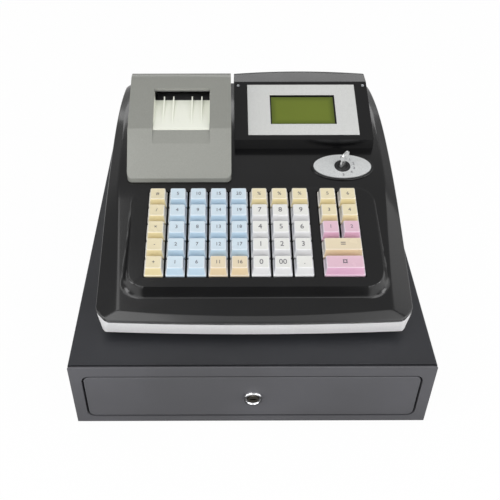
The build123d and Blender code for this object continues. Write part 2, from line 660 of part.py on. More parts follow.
def cash_tray():
    """One moulding: coin cups with scooped bottoms in front, deep note bays behind."""
    tray = block(-TRAY_HALF, TRAY_HALF, TRAY_FRONT, TRAY_BACK, TRAY_Z, TRAY_TOP)
    low = TRAY_Z + TRAY_FLOOR
    for x0, x1 in tray_bays():
        tray -= block(x0, x1, COIN_BACK + TRAY_WALL, TRAY_BACK - TRAY_WALL, low, TRAY_TOP + 1)
    clear = 2 * TRAY_HALF - TRAY_WALL * (COIN_CUPS + 1)
    width = clear / COIN_CUPS
    for i in range(COIN_CUPS):
        x0 = -TRAY_HALF + TRAY_WALL + i * (width + TRAY_WALL)
        cup = block(x0, x0 + width, TRAY_FRONT + TRAY_WALL, COIN_BACK, low, TRAY_TOP + 1)
        tray -= fillet(cup.edges().filter_by(Axis.X).group_by(Axis.Z)[0], COIN_SCOOP)
    return tray - rod_x(-TRAY_HALF - 1, TRAY_HALF + 1, CLIP_Y, CLIP_Z, CLIP_ROD_RADIUS)


def clip_rod():
    """The steel rod through the tray's dividers that the note clips hang on."""
    return rod_x(-TRAY_HALF + 0.5, TRAY_HALF - 0.5, CLIP_Y, CLIP_Z, CLIP_ROD_RADIUS)


CLIP_LOW = TRAY_Z + TRAY_FLOOR + CLIP_PAD_RADIUS + 1.0
CLIP_REST = asin((CLIP_Z - CLIP_LOW) / CLIP_ARM)


def note_clip(x0, x1):
    """A moulded clip: a hub on the rod, a tapered arm reaching forwards and a rounded pad that holds the notes."""
    middle = (x0 + x1) / 2
    pad_y = CLIP_Y - CLIP_ARM * cos(CLIP_REST)
    pad_z = CLIP_Z - CLIP_ARM * sin(CLIP_REST)
    half = CLIP_WIDTH / 2
    hub = rod_x(middle - half, middle + half, CLIP_Y, CLIP_Z, CLIP_HUB_RADIUS)
    pad = rod_x(middle - half - 5, middle + half + 5, pad_y, pad_z, CLIP_PAD_RADIUS)
    nx, nz = sin(CLIP_REST), cos(CLIP_REST)
    arm = slab_x(closed([
        (CLIP_Y - nx * 3.5, CLIP_Z + nz * 3.5), (pad_y - nx * 2, pad_z + nz * 2),
        (pad_y + nx * 2, pad_z - nz * 2), (CLIP_Y + nx * 3.5, CLIP_Z - nz * 3.5),
    ]), middle - half + 3, middle + half - 3)
    return hub + pad + arm - rod_x(middle - CLIP_WIDTH, middle + CLIP_WIDTH, CLIP_Y, CLIP_Z, CLIP_ROD_RADIUS + CLIP_FIT)


def lock_barrel():
    """The cam lock's housing: a turned face ring, a body through the panel and a nut behind it."""
    proud = FRONT_Y - LOCK_PROUD
    face = rod_y(LOCK_X, proud, FRONT_Y, LOCK_Z, LOCK_FACE_RADIUS)
    face = chamfer(face.edges().filter_by(GeomType.CIRCLE).sort_by(Axis.Y)[0], 1.2)
    body = rod_y(LOCK_X, FRONT_Y, LOCK_BACK, LOCK_Z, LOCK_BODY_RADIUS)
    nut = Pos(LOCK_X, LOCK_BACK, LOCK_Z) * Rot(90, 0, 0) * extrude(RegularPolygon(11, 6), amount=LOCK_NUT)
    bore = rod_y(LOCK_X, proud - 1, LOCK_BACK + 1, LOCK_Z, CORE_RADIUS + CORE_FIT)
    dish = Pos(LOCK_X, proud, LOCK_Z) * Rot(90, 0, 0) * Cylinder(CORE_RADIUS + 1.6, 1.6)
    return face + body + nut - bore - dish


def lock_core():
    """The lock's plug with its keyway, and the cam riveted on its inner end."""
    front = FRONT_Y - LOCK_PROUD + 0.8
    back = LOCK_BACK + CAM_GAP
    plug = rod_y(LOCK_X, front, back + CAM_THICK, LOCK_Z, CORE_RADIUS)
    keyway = Pos(LOCK_X, front, LOCK_Z) * Box(KEYWAY_WIDTH, 2 * KEYWAY_DEPTH, KEYWAY_HEIGHT)
    reach = CAM_LENGTH - CAM_WIDTH / 2
    cam = Pos(LOCK_X + reach / 2, back, LOCK_Z) * Rot(90, 0, 0) * SlotCenterToCenter(reach, CAM_WIDTH)
    return plug - keyway + extrude(cam, amount=-CAM_THICK)


def latch_solenoid():
    """The release magnet on the back wall: a coil in a folded yoke, bored for the bolt."""
    back = BACK_Y - CABINET_SHEET
    half = YOKE_WIDTH / 2
    seat = LATCH_Z + YOKE_SHEET
    yoke = block(-half, half, LATCH_Y - COIL_RADIUS, back, seat, seat + YOKE_SHEET)
    yoke += block(-half, half, back - YOKE_SHEET, back, seat + YOKE_SHEET - YOKE_HEIGHT, seat + YOKE_SHEET)
    coil = Pos(0, LATCH_Y, seat + YOKE_SHEET + COIL_HEIGHT / 2) * Cylinder(COIL_RADIUS, COIL_HEIGHT)
    bore = Pos(0, LATCH_Y, seat + COIL_HEIGHT / 2) * Cylinder(BOLT_RADIUS + BOLT_FIT, 2 * COIL_HEIGHT)
    return yoke + coil - bore


def latch_bolt():
    """The steel bolt that drops through the drawer's latch tab."""
    bolt = Pos(0, LATCH_Y, LATCH_Z - LATCH_TAB_DROP + 1 + BOLT_LENGTH / 2) * Cylinder(BOLT_RADIUS, BOLT_LENGTH)
    return chamfer(bolt.edges().sort_by(Axis.Z)[0], 1.0)


# ==== register: housing =======================================================================================
def base_tray():
    """The silver base moulding: a floor and a wall that leans outwards up to the black shell."""
    tray = base_loft(0, BAND_BOTTOM) - base_loft(BASE_WALL, BAND_BOTTOM + BASE_FLOOR)
    high = BAND_TOP - SOCKET_DROP
    for i in range(2):
        x = SOCKET_X + i * SOCKET_SPACING
        tray -= block(x - SOCKET_SIZE / 2, x + SOCKET_SIZE / 2, BODY_REAR - SOCKET_SETBACK - SOCKET_DEPTH,
                      BODY_REAR + 1, high - SOCKET_SIZE, high)
    return REGISTER * tray


def island(drop, inset):
    """The raised keyboard field: rounded in plan and spreading with its draft down into the deck."""
    width = 2 * (ISLAND_HALF - inset)
    length = ISLAND_LENGTH - 2 * inset
    middle = Pos(KEYS_MIDDLE + ISLAND_SHIFT, ISLAND_START + ISLAND_LENGTH / 2, -drop)
    shape = middle * RectangleRounded(width, length, ISLAND_CORNER - inset)
    return BOARD * extrude(shape, amount=ISLAND_DEPTH - drop, dir=(0, 0, -1), taper=-ISLAND_DRAFT)


def key_windows(margin, low, high):
    """The two openings that the keys stand in: eight columns, and the two-column block beside them."""
    reach = KEY_BASE / 2 + margin
    back = (KEY_ROWS - 1) * KEY_PITCH_Y + reach
    main = block(FIRST_KEY_X - reach, FIRST_KEY_X + (KEY_COLUMNS - 1) * KEY_PITCH_X + reach, -reach, back, low, high)
    side = block(BLOCK_X - reach, BLOCK_X + KEY_PITCH_X + reach, -reach, back, low, high)
    return [BOARD * main, BOARD * side]


def oval_place(rise):
    """The mode lock's frame: on the deck, tilted with it, at a height above it."""
    return Pos(OVAL_X, OVAL_Y, deck_height(OVAL_Y)) * Rot(OVAL_TILT, 0, 0) * Pos(0, 0, rise)


def oval(length, width, low, high):
    """An elliptical disc in the mode lock's frame."""
    return extrude(oval_place(low) * Ellipse(length / 2, width / 2), amount=high - low)


def hinge_knuckle(x, reach, inner):
    """A knuckle's outer form, its pin or its bore, on the cover's hinge axis."""
    return rod_x(x - reach, x + reach, HINGE_Y, HINGE_Z, inner)


def top_shell():
    """The black upper moulding: bowed chamfered front, bevelled flanks, keyboard island and open wells."""
    ceiling = BAND_TOP + BLANK_HEIGHT
    bow = (CORNER_HALF ** 2 + BODY_BULGE ** 2) / (2 * BODY_BULGE)
    fall = NOSE_HEIGHT / tan(radians(LIP_SLOPE))
    nose = Pos(0, BODY_FRONT + bow, BAND_TOP + LIP_HEIGHT + NOSE_HEIGHT / 2) * Cone(bow, bow - fall, NOSE_HEIGHT)
    edge = Pos(0, BODY_FRONT + bow, BAND_TOP + LIP_HEIGHT / 2) * Cylinder(bow, LIP_HEIGHT)
    front = block(-BODY_WIDTH, BODY_WIDTH, 0, BODY_FRONT + NOSE_REACH, BAND_TOP - 1, BAND_TOP + NOSE_HEIGHT)
    body = roof(0, 0) & body_prism(0, BAND_TOP, ceiling)
    body -= front - nose - edge
    body += island(0, 0) & body_prism(0, BAND_TOP, ceiling)
    inner_roof = roof(SHELL_WALL, SHELL_WALL) & body_prism(SHELL_WALL, BAND_TOP - 1, ceiling)
    inner_island = island(SHELL_WALL, SHELL_WALL) & body_prism(SHELL_WALL + BODY_BULGE, BAND_TOP, ceiling)
    shell = body - inner_roof - inner_island
    for window in key_windows(WINDOW_MARGIN, -KEY_PLATE_DROP - KEY_PLATE_THICK, KEY_HEIGHT):
        shell -= window
    shell -= block(COVER_LEFT + COVER_REBATE, COVER_RIGHT - COVER_REBATE, COVER_FRONT + COVER_REBATE,
                   HINGE_Y - HINGE_RADIUS - HINGE_ROOM, BAND_TOP + SHELL_WALL, ceiling)
    shell -= block(HOOD_LEFT + HOOD_RIM, HOOD_RIGHT - HOOD_RIM, HOOD_FRONT + HOOD_RIM, HOOD_BROW_Y,
                   BAND_TOP + SHELL_WALL, ceiling)
    shell += oval(OVAL_LENGTH + 2 * OVAL_RIM, OVAL_WIDTH + 2 * OVAL_RIM, -SHELL_WALL, 1.2)
    shell -= oval(OVAL_LENGTH + 2 * OVAL_GAP, OVAL_WIDTH + 2 * OVAL_GAP, 0.2, 4)
    shell -= oval_place(0) * Cylinder(MODE_RADIUS, 12)
    for sign in (-1, 1):
        x = COVER_MIDDLE + sign * (HINGE_SPREAD + HINGE_LENGTH)
        knuckle = hinge_knuckle(x, HINGE_LENGTH / 2 - 0.4, HINGE_RADIUS)
        post = block(x - HINGE_LENGTH / 2 + 0.4, x + HINGE_LENGTH / 2 - 0.4,
                     HINGE_Y - HINGE_RADIUS, HINGE_Y + HINGE_RADIUS, deck_height(HINGE_Y) - 1, HINGE_Z)
        shell += knuckle + post
        shell -= hinge_knuckle(x, HINGE_LENGTH, HINGE_PIN_RADIUS + HINGE_FIT)
    return REGISTER * shell


def rear_sockets():
    """The power inlet and the drawer's lead socket, side by side in the base's back wall."""
    z = BAND_TOP - SOCKET_DROP - SOCKET_SIZE / 2
    half = SOCKET_SIZE / 2
    hollow = half - SOCKET_WALL
    face_y = BODY_REAR - SOCKET_SETBACK
    floor_y = face_y - SOCKET_DEPTH + SOCKET_BACK
    sockets = []
    for i in range(2):
        x = SOCKET_X + i * SOCKET_SPACING
        body = block(x - half, x + half, face_y - SOCKET_DEPTH, face_y, z - half, z + half)
        sockets.append(body - block(x - hollow, x + hollow, floor_y, face_y + 1, z - hollow, z + hollow))
    for sign in (-1, 1):
        x = SOCKET_X + sign * INLET_PIN_SPACING / 2
        sockets[0] += block(x - INLET_PIN / 2, x + INLET_PIN / 2, floor_y - 0.5, floor_y + INLET_PIN_LENGTH,
                            z - INLET_PIN, z + INLET_PIN)
    return [REGISTER * socket for socket in sockets]


def main_board():
    """The circuit board on its posts in the base, with its tall parts."""
    floor = BAND_BOTTOM + BASE_FLOOR
    face = floor + BOARD_RISE + BOARD_THICK
    board = Pos(BOARD_X, BOARD_Y, face - BOARD_THICK / 2) * Box(BOARD_WIDTH, BOARD_LENGTH, BOARD_THICK)
    post_x = BOARD_WIDTH / 2 - BOARD_POST_INSET
    post_y = BOARD_LENGTH / 2 - BOARD_POST_INSET
    for sx in (-1, 1):
        for sy in (-1, 1):
            place = Pos(BOARD_X + sx * post_x, BOARD_Y + sy * post_y, floor + BOARD_RISE / 2)
            board += place * Cylinder(BOARD_POST_RADIUS, BOARD_RISE)
    board += Pos(BOARD_X - BOARD_WIDTH / 5, BOARD_Y, face + CHIP_HEIGHT / 2) * Box(CHIP_SIZE, CHIP_SIZE, CHIP_HEIGHT)
    pack_y = BOARD_Y - BOARD_LENGTH / 2 + PACK_LENGTH
    board += Pos(BOARD_X + BOARD_WIDTH / 4, pack_y, face + PACK_HEIGHT / 2) * Box(PACK_WIDTH, PACK_LENGTH, PACK_HEIGHT)
    tall = Pos(BOARD_X + BOARD_WIDTH / 4, BOARD_Y + BOARD_LENGTH / 4, face + CAPACITOR_HEIGHT / 2)
    return REGISTER * (board + tall * Cylinder(CAPACITOR_RADIUS, CAPACITOR_HEIGHT))


# ==== register: keyboard ======================================================================================
def key_plate():
    """The frame that guides the key stems, hung from a rim under the shell."""
    rim_top = -SHELL_WALL - 0.1
    reach = KEY_BASE / 2 + WINDOW_MARGIN + KEY_PLATE_RIM
    back = (KEY_ROWS - 1) * KEY_PITCH_Y + reach
    low = -KEY_PLATE_DROP - KEY_PLATE_THICK
    plate = BOARD * block(FIRST_KEY_X - reach, BLOCK_X + KEY_PITCH_X + reach, -reach, back, low, rim_top)
    for window in key_windows(WINDOW_MARGIN, -KEY_PLATE_DROP, 4):
        plate -= window
    side = KEY_STEM + 2 * STEM_GAP
    stems = []
    for x, s in all_stems():
        stems.append(BOARD * Pos(x, s, low) * Box(side, side, 20))
    return REGISTER * (plate - stems)


def all_stems():
    """Where every key's stem stands, as (x, distance up the plane)."""
    places = [(FIRST_KEY_X + c * KEY_PITCH_X, r * KEY_PITCH_Y) for r in range(KEY_ROWS) for c in range(KEY_COLUMNS)]
    for r in range(KEY_ROWS):
        for c in range(2):
            places.append((BLOCK_X + c * KEY_PITCH_X, r * KEY_PITCH_Y))
    return places


def frustum(foot_x, foot_y, low, top_x, top_y, high, shift):
    """A four-sided frustum with flat faces, its top set back by shift: a front and a side profile crossed."""
    side = slab_x(closed([
        (-foot_y / 2, low), (foot_y / 2, low), (shift + top_y / 2, high), (shift - top_y / 2, high),
    ]), -foot_x / 2, foot_x / 2)
    front = Rot(0, 0, 90) * slab_x(closed([
        (-foot_x / 2, low), (foot_x / 2, low), (top_x / 2, high), (-top_x / 2, high),
    ]), -foot_x - foot_y, foot_x + foot_y)
    return side & front


def key_cap(x, row, units=1):
    """A key: a skirt, a tapered cap with its top set back, hollow inside, on square stems."""
    extra = (units - 1) * KEY_PITCH_X
    s = row * KEY_PITCH_Y
    foot = KEY_BASE - 2 * KEY_LEDGE
    hollow = KEY_BASE - 2 * KEY_WALL
    cap = frustum(foot + extra, foot, KEY_SKIRT, KEY_TOP_WIDTH + extra, KEY_TOP_DEPTH, KEY_HEIGHT, KEY_TOP_SHIFT)
    slopes = [edge for edge in cap.edges() if edge.bounding_box().size.Z > KEY_HEIGHT / 2]
    cap = chamfer(slopes, KEY_BEVEL) + Box(KEY_BASE + extra, KEY_BASE, 2 * KEY_SKIRT)
    cap -= frustum(hollow + extra, hollow, -KEY_SKIRT, KEY_TOP_WIDTH - 2 * KEY_WALL + extra,
                   KEY_TOP_DEPTH - 2 * KEY_WALL, KEY_HEIGHT - KEY_WALL, KEY_TOP_SHIFT)
    stem_low = -KEY_STEM_DROP
    for i in range(units):
        offset = (i - (units - 1) / 2) * KEY_PITCH_X
        half = KEY_STEM / 2
        cap += block(offset - half, offset + half, -half, half, stem_low, KEY_HEIGHT - KEY_WALL)
    return REGISTER * BOARD * Pos(x + extra / 2, s, 0) * cap


def column_x(column):
    """The middle of a key column; columns past the eighth are in the right-hand block."""
    if column < KEY_COLUMNS:
        return FIRST_KEY_X + column * KEY_PITCH_X
    return BLOCK_X + (column - KEY_COLUMNS) * KEY_PITCH_X


def keyboard():
    """Every key node: single number keys, the two wide keys, and groups that share a node."""
    nodes = {}
    digits = ("key_0", "key_00", "key_point", "key_1", "key_2", "key_3", "key_4", "key_5", "key_6",
              "key_7", "key_8", "key_9")
    for i, name in enumerate(digits):
        nodes[name] = [key_cap(column_x(5 + i % 3), i // 3)]
    nodes["key_cash"] = [key_cap(column_x(8), 0, 2)]
    nodes["key_total"] = [key_cap(column_x(8), 1, 2)]
    nodes["keys_function"] = [key_cap(column_x(0), row) for row in range(KEY_ROWS)]
    for column in range(1, 5):
        nodes[f"keys_department_{column}"] = [key_cap(column_x(column), row) for row in range(KEY_ROWS)]
    nodes["keys_lookup"] = [key_cap(column_x(column), 4) for column in (5, 6, 7)]
    nodes["keys_payment"] = [key_cap(column_x(column), row) for row in (2, 3, 4) for column in (8, 9)]
    return nodes


# ==== register: printer =======================================================================================
def cover_wire(inset, low):
    """The printer cover's side outline, drawn in by inset: lip, sloping face, brow, rounded top and back."""
    face = atan2(COVER_CREASE_Z - COVER_LIP_Z, COVER_CREASE_Y - COVER_FRONT)
    brow = atan2(COVER_BROW_Z - COVER_CREASE_Z, COVER_BROW_Y - COVER_CREASE_Y)
    middle = (face + brow) / 2
    reach = inset / cos((face - brow) / 2)
    crease = (COVER_CREASE_Y + reach * sin(middle), COVER_CREASE_Z - reach * cos(middle))
    brow_end = (COVER_BROW_Y + inset * sin(brow), COVER_BROW_Z - inset * cos(brow))
    back_angle = -radians(COVER_BACK_SLOPE)
    radius = COVER_TOP_RADIUS - inset
    centre = (COVER_BROW_Y + COVER_TOP_RADIUS * sin(brow), COVER_BROW_Z - COVER_TOP_RADIUS * cos(brow))

    def on_top(angle):
        return (centre[0] - radius * sin(angle), centre[1] + radius * cos(angle))

    top = ThreePointArc(brow_end, on_top((brow + back_angle) / 2), on_top(back_angle))
    top_end = on_top(back_angle)
    foot_y = top_end[0] + (top_end[1] - low) / tan(radians(COVER_BACK_SLOPE))
    front_y = COVER_FRONT + inset
    lip_z = crease[1] - (crease[0] - front_y) * tan(face)
    lines = Polyline(top_end, (foot_y, low), (front_y, low), (front_y, lip_z), crease, brow_end)
    return Wire(top.edges() + lines.edges())


def cover_back_y(z):
    """Where the cover's sloping back stands at a height."""
    brow = atan2(COVER_BROW_Z - COVER_CREASE_Z, COVER_BROW_Y - COVER_CREASE_Y)
    back = radians(COVER_BACK_SLOPE)
    end_y = COVER_BROW_Y + COVER_TOP_RADIUS * (sin(brow) + sin(back))
    end_z = COVER_BROW_Z + COVER_TOP_RADIUS * (cos(back) - cos(brow))
    return end_y + (end_z - z) / tan(back)


def printer_cover():
    """The silver hinged cover: a thin shell with the paper mouth, the scoop below it and two hinge knuckles."""
    low = COVER_LIP_Z - COVER_SKIRT
    outer = slab_x(cover_wire(0, low), COVER_LEFT, COVER_RIGHT)
    front_corners = outer.edges().filter_by(Axis.Z).group_by(Axis.Y)[0]
    outer = fillet(front_corners, COVER_CORNER)
    inner = slab_x(cover_wire(COVER_WALL, low - 1), COVER_LEFT + COVER_WALL, COVER_RIGHT - COVER_WALL)
    cover = outer - inner - deck_solid(COVER_GAP)
    mouth = block(MOUTH_LEFT, MOUTH_RIGHT, COVER_CREASE_Y, MOUTH_REAR, COVER_CREASE_Z - 3 * COVER_WALL, COVER_BROW_Z)
    face = atan2(COVER_CREASE_Z - COVER_LIP_Z, COVER_CREASE_Y - COVER_FRONT)
    scoop_z = COVER_CREASE_Z - (COVER_CREASE_Y - LIP_RECESS_Y) * tan(face)
    scoop = slab_x(closed([
        (LIP_RECESS_Y, scoop_z), (LIP_RECESS_Y - 3, scoop_z + 6), (COVER_CREASE_Y + 1, COVER_CREASE_Z + 6),
        (COVER_CREASE_Y + 1, COVER_CREASE_Z - LIP_RECESS_DEPTH),
    ]), MOUTH_LEFT, MOUTH_RIGHT)
    cover = cover - mouth - scoop
    for sign in (-1, 1):
        x = COVER_MIDDLE + sign * HINGE_SPREAD
        cover += hinge_knuckle(x, HINGE_LENGTH / 2, HINGE_RADIUS)
        pin = x + sign * HINGE_LENGTH
        cover += hinge_knuckle(pin, HINGE_LENGTH / 2 - 0.6, HINGE_PIN_RADIUS)
        cover += hinge_knuckle(x + sign * HINGE_LENGTH / 2, 1.0, HINGE_PIN_RADIUS)
        cover += slab_x(closed([
            (HINGE_Y, HINGE_Z), (HINGE_Y + HINGE_RADIUS * 0.8, HINGE_Z + HINGE_RADIUS * 0.6),
            (cover_back_y(HINGE_Z + 11) - 1, HINGE_Z + 11), (cover_back_y(HINGE_Z) - 1, HINGE_Z),
        ]), x - HINGE_LENGTH / 2, x + HINGE_LENGTH / 2)
    return REGISTER * cover


def guide_plate_z(y):
    """Height of the paper guide's floor."""
    return COVER_CREASE_Z - 1.0 + (y - COVER_CREASE_Y) * tan(radians(GUIDE_SLOPE))


def paper_guide():
    """The white insert in the cover's mouth: a floor that sinks backwards, side walls and four wedge ribs."""
    brow = atan2(COVER_BROW_Z - COVER_CREASE_Z, COVER_BROW_Y - COVER_CREASE_Y)
    front = COVER_CREASE_Y + 0.6
    rear = MOUTH_REAR - TEAR_TOOTH - 0.3

    def under(y, gap):
        return COVER_CREASE_Z + (y - COVER_CREASE_Y) * tan(brow) - gap

    floor = slab_x(closed([
        (front, guide_plate_z(front)), (rear, guide_plate_z(rear)),
        (rear, guide_plate_z(rear) - GUIDE_THICK), (front, guide_plate_z(front) - GUIDE_THICK),
    ]), MOUTH_LEFT + 0.2, MOUTH_RIGHT - 0.2)
    cheek_gap = COVER_WALL / cos(brow) + 0.1
    cheek_front = front + 6
    guide = floor
    for x in (MOUTH_LEFT - 1.0, MOUTH_RIGHT - 0.2):
        guide += slab_x(closed([
            (cheek_front, guide_plate_z(cheek_front) - GUIDE_THICK), (cheek_front + 6, under(cheek_front + 6, cheek_gap)),
            (rear, under(rear, cheek_gap)), (rear, guide_plate_z(rear) - GUIDE_THICK),
        ]), x, x + 1.2)
    for x in GUIDE_RIBS:
        guide += slab_x(closed([
            (front + 4, guide_plate_z(front + 4) - 0.5), (rear, under(rear, cheek_gap + TEAR_SHEET + PAPER_SLOT)),
            (rear, guide_plate_z(rear) - 0.5),
        ]), x - GUIDE_RIB / 2, x + GUIDE_RIB / 2)
    return REGISTER * guide


def tear_bar():
    """The steel strip with saw teeth along the mouth's back edge."""
    width = MOUTH_RIGHT - MOUTH_LEFT
    teeth = int(width / TEAR_PITCH)
    start = -teeth * TEAR_PITCH / 2
    points = [(start, 4.0)]
    for i in range(teeth):
        points.append((start + i * TEAR_PITCH, 0.0))
        points.append((start + (i + 0.5) * TEAR_PITCH, -TEAR_TOOTH))
    points += [(-start, 0.0), (-start, 4.0)]
    strip = extrude(make_face(closed(points)), amount=TEAR_SHEET)
    brow = atan2(COVER_BROW_Z - COVER_CREASE_Z, COVER_BROW_Y - COVER_CREASE_Y)
    depth = COVER_WALL / cos(brow) + TEAR_SHEET / cos(brow) + 0.1
    z = COVER_CREASE_Z + (MOUTH_REAR - COVER_CREASE_Y) * tan(brow) - depth
    return REGISTER * Pos(PAPER_X, MOUTH_REAR, z) * Rot(degrees(brow), 0, 0) * strip


def printer_frame():
    """The printer's chassis: two side plates, the curved paper bucket between them, the head and its heat sink."""
    floor = BAND_BOTTOM + BASE_FLOOR
    inner = PAPER_WIDTH / 2 + 1.0
    outer = inner + FRAME_PLATE
    bucket = ROLL_RADIUS + BUCKET_GAP
    profile = closed([
        (ROLL_Y - CHASSIS_FRONT, floor), (ROLL_Y + CHASSIS_REAR, floor), (ROLL_Y + CHASSIS_REAR, ROLL_Z + CHASSIS_RISE),
        (PLATEN_Y + 9, PLATEN_Z + 5), (PLATEN_Y - 3, PLATEN_Z + 7), (PLATEN_Y - CHASSIS_HEAD, PLATEN_Z - 4),
        (ROLL_Y - CHASSIS_FRONT, ROLL_Z - 4),
    ])
    frame = slab_x(profile, PAPER_X - outer, PAPER_X - inner) + slab_x(profile, PAPER_X + inner, PAPER_X + outer)
    tube = rod_x(PAPER_X - outer, PAPER_X + outer, ROLL_Y, ROLL_Z, bucket + BUCKET_WALL)
    tube -= rod_x(PAPER_X - outer - 1, PAPER_X + outer + 1, ROLL_Y, ROLL_Z, bucket)
    reach = bucket + BUCKET_WALL
    tube &= block(PAPER_X - outer, PAPER_X + outer, ROLL_Y - reach, ROLL_Y + reach, floor, ROLL_Z)
    head_y = PLATEN_Y - PLATEN_RADIUS - 0.5
    head = block(PAPER_X - outer, PAPER_X + outer, head_y - 3, head_y, PLATEN_Z - 9, PLATEN_Z + 4)
    for i in range(6):
        x = PAPER_X - 25 + i * 10
        head += block(x - 1, x + 1, head_y - 8, head_y - 3, PLATEN_Z - 8, PLATEN_Z - 2)
    bearing = rod_x(PAPER_X - outer - 5, PAPER_X + outer + 5, PLATEN_Y, PLATEN_Z, PLATEN_SHAFT + PLATEN_FIT)
    return REGISTER * (frame + tube + head - bearing)


def platen_roller():
    """The rubber platen on its steel shaft."""
    inner = PAPER_WIDTH / 2 + 0.2
    plate = PAPER_WIDTH / 2 + 1.0 + FRAME_PLATE
    shaft = rod_x(PAPER_X - plate - 0.6 - GEAR_WIDTH, PAPER_X + plate + 1.5, PLATEN_Y, PLATEN_Z, PLATEN_SHAFT)
    return REGISTER * (shaft + rod_x(PAPER_X - inner, PAPER_X + inner, PLATEN_Y, PLATEN_Z, PLATEN_RADIUS))


def gear(teeth, phase):
    """A spur gear's flat outline: teeth that narrow from the root to the tip, about the pitch circle."""
    pitch = GEAR_MODULE * teeth / 2
    root = pitch - 1.2 * GEAR_MODULE
    tip = pitch + 0.95 * GEAR_MODULE
    step = 2 * pi / teeth
    points = []
    for i in range(teeth):
        at = i * step + phase
        for radius, share in ((root, -0.34), (tip, -0.11), (tip, 0.11), (root, 0.34)):
            angle = at + share * step
            points.append((radius * cos(angle), radius * sin(angle)))
    return closed(points)


GEAR_X = PAPER_X - PAPER_WIDTH / 2 - 1.0 - FRAME_PLATE - 0.5 - GEAR_WIDTH
GEAR_DISTANCE = GEAR_MODULE * (PLATEN_TEETH + PINION_TEETH) / 2 + GEAR_BACKLASH
MOTOR_Y = PLATEN_Y + GEAR_DISTANCE * cos(radians(MOTOR_ANGLE))
MOTOR_Z = PLATEN_Z + GEAR_DISTANCE * sin(radians(MOTOR_ANGLE))


def gear_at(teeth, phase, y, z):
    """A gear placed with its axis along X."""
    wheel = slab_x(gear(teeth, phase), GEAR_X, GEAR_X + GEAR_WIDTH)
    return Pos(0, y, z) * wheel


def platen_gear():
    """The gear pressed on the platen's shaft; one tooth gap faces the pinion."""
    phase = radians(MOTOR_ANGLE) + pi / PLATEN_TEETH
    wheel = gear_at(PLATEN_TEETH, phase, PLATEN_Y, PLATEN_Z)
    return REGISTER * (wheel - rod_x(GEAR_X - 1, GEAR_X + GEAR_WIDTH + 1, PLATEN_Y, PLATEN_Z, PLATEN_SHAFT))


def motor_pinion():
    """The small gear on the motor's shaft; one tooth faces the platen's gear."""
    wheel = gear_at(PINION_TEETH, radians(MOTOR_ANGLE) + pi, MOTOR_Y, MOTOR_Z)
    spindle = rod_x(GEAR_X - MOTOR_DEPTH * 0.6, GEAR_X, MOTOR_Y, MOTOR_Z, 1.0)
    return REGISTER * (wheel + spindle)


def feed_motor():
    """The flat stepping motor, standing off the side plate on two posts."""
    near = GEAR_X - 0.6
    far = near - MOTOR_DEPTH
    can = rod_x(far, near, MOTOR_Y, MOTOR_Z, MOTOR_RADIUS)
    can -= rod_x(near - MOTOR_DEPTH * 0.7, near + 1, MOTOR_Y, MOTOR_Z, 1.06)
    plate_x = PAPER_X - PAPER_WIDTH / 2 - 1.0 - FRAME_PLATE
    for angle in (radians(MOTOR_ANGLE - 38), radians(MOTOR_ANGLE + 62)):
        y = MOTOR_Y + (MOTOR_RADIUS - 0.5) * cos(angle)
        z = MOTOR_Z + (MOTOR_RADIUS - 0.5) * sin(angle)
        can += rod_x(far, near, y, z, 3.0)
        can += rod_x(near, plate_x, y, z, 1.6)
    return REGISTER * can


def paper_roll():
    """The till roll lying in the bucket."""
    half = PAPER_WIDTH / 2
    roll = rod_x(PAPER_X - half, PAPER_X + half, ROLL_Y, ROLL_Z, ROLL_RADIUS)
    return REGISTER * (roll - rod_x(PAPER_X - half - 1, PAPER_X + half + 1, ROLL_Y, ROLL_Z, ROLL_CORE))


# ==== register: display and mode lock =========================================================================
HOOD = Pos(0, HOOD_FRONT, HOOD_FRONT_Z) * Rot(HOOD_SLOPE, 0, 0)
HOOD_BROW_Z = HOOD_FRONT_Z + (HOOD_BROW_Y - HOOD_FRONT) * tan(radians(HOOD_SLOPE))


def along_hood(y):
    """Distance up the display's sloping panel to a place given behind the drawer's front."""
    return (y - HOOD_FRONT) / cos(radians(HOOD_SLOPE))


HOOD_EDGE_Y = HOOD_BROW_Y + HOOD_TOP_DEPTH
HOOD_MIDDLE = (HOOD_LEFT + HOOD_RIGHT) / 2
HOOD_HALF = (HOOD_RIGHT - HOOD_LEFT) / 2
HOOD_BOW_RADIUS = (HOOD_HALF ** 2 + HOOD_BOW ** 2) / (2 * HOOD_BOW)


def hood_blank(inset):
    """The display hood drawn in by inset: a front of panel slope and flat top, crossed with a bowed, turned back."""
    slope = radians(HOOD_SLOPE)
    top_z = HOOD_BROW_Z - inset
    front = (HOOD_FRONT + inset, HOOD_FRONT_Z - inset / cos(slope) + inset * tan(slope))
    brow_y = HOOD_BROW_Y - inset * (1 - 1 / cos(slope)) / tan(slope)
    far_y = HOOD_EDGE_Y + BLANK_HEIGHT
    panel = slab_x(closed([
        (front[0], HOOD_LOW), front, (brow_y, top_z), (far_y, top_z), (far_y, HOOD_LOW),
    ]), HOOD_LEFT + inset, HOOD_RIGHT - inset)
    radius = HOOD_TOP_RADIUS - inset
    back = radians(HOOD_BACK_SLOPE)
    centre_z = HOOD_BROW_Z - HOOD_TOP_RADIUS
    edge_r = HOOD_BOW_RADIUS
    arc_end = (edge_r + radius * sin(back), centre_z + radius * cos(back))
    arc_mid = (edge_r + radius * sin(back / 2), centre_z + radius * cos(back / 2))
    foot_r = arc_end[0] + (arc_end[1] - HOOD_LOW) / tan(back)
    edge = ThreePointArc((edge_r, top_z), arc_mid, arc_end)
    lines = Polyline(arc_end, (foot_r, HOOD_LOW), (0, HOOD_LOW), (0, top_z), (edge_r, top_z))
    outline = make_face(Wire(edge.edges() + lines.edges()))
    turned = revolve(Plane.XZ.location * outline, Axis.Z)
    return panel & Pos(HOOD_MIDDLE, HOOD_EDGE_Y - HOOD_BOW_RADIUS, 0) * turned


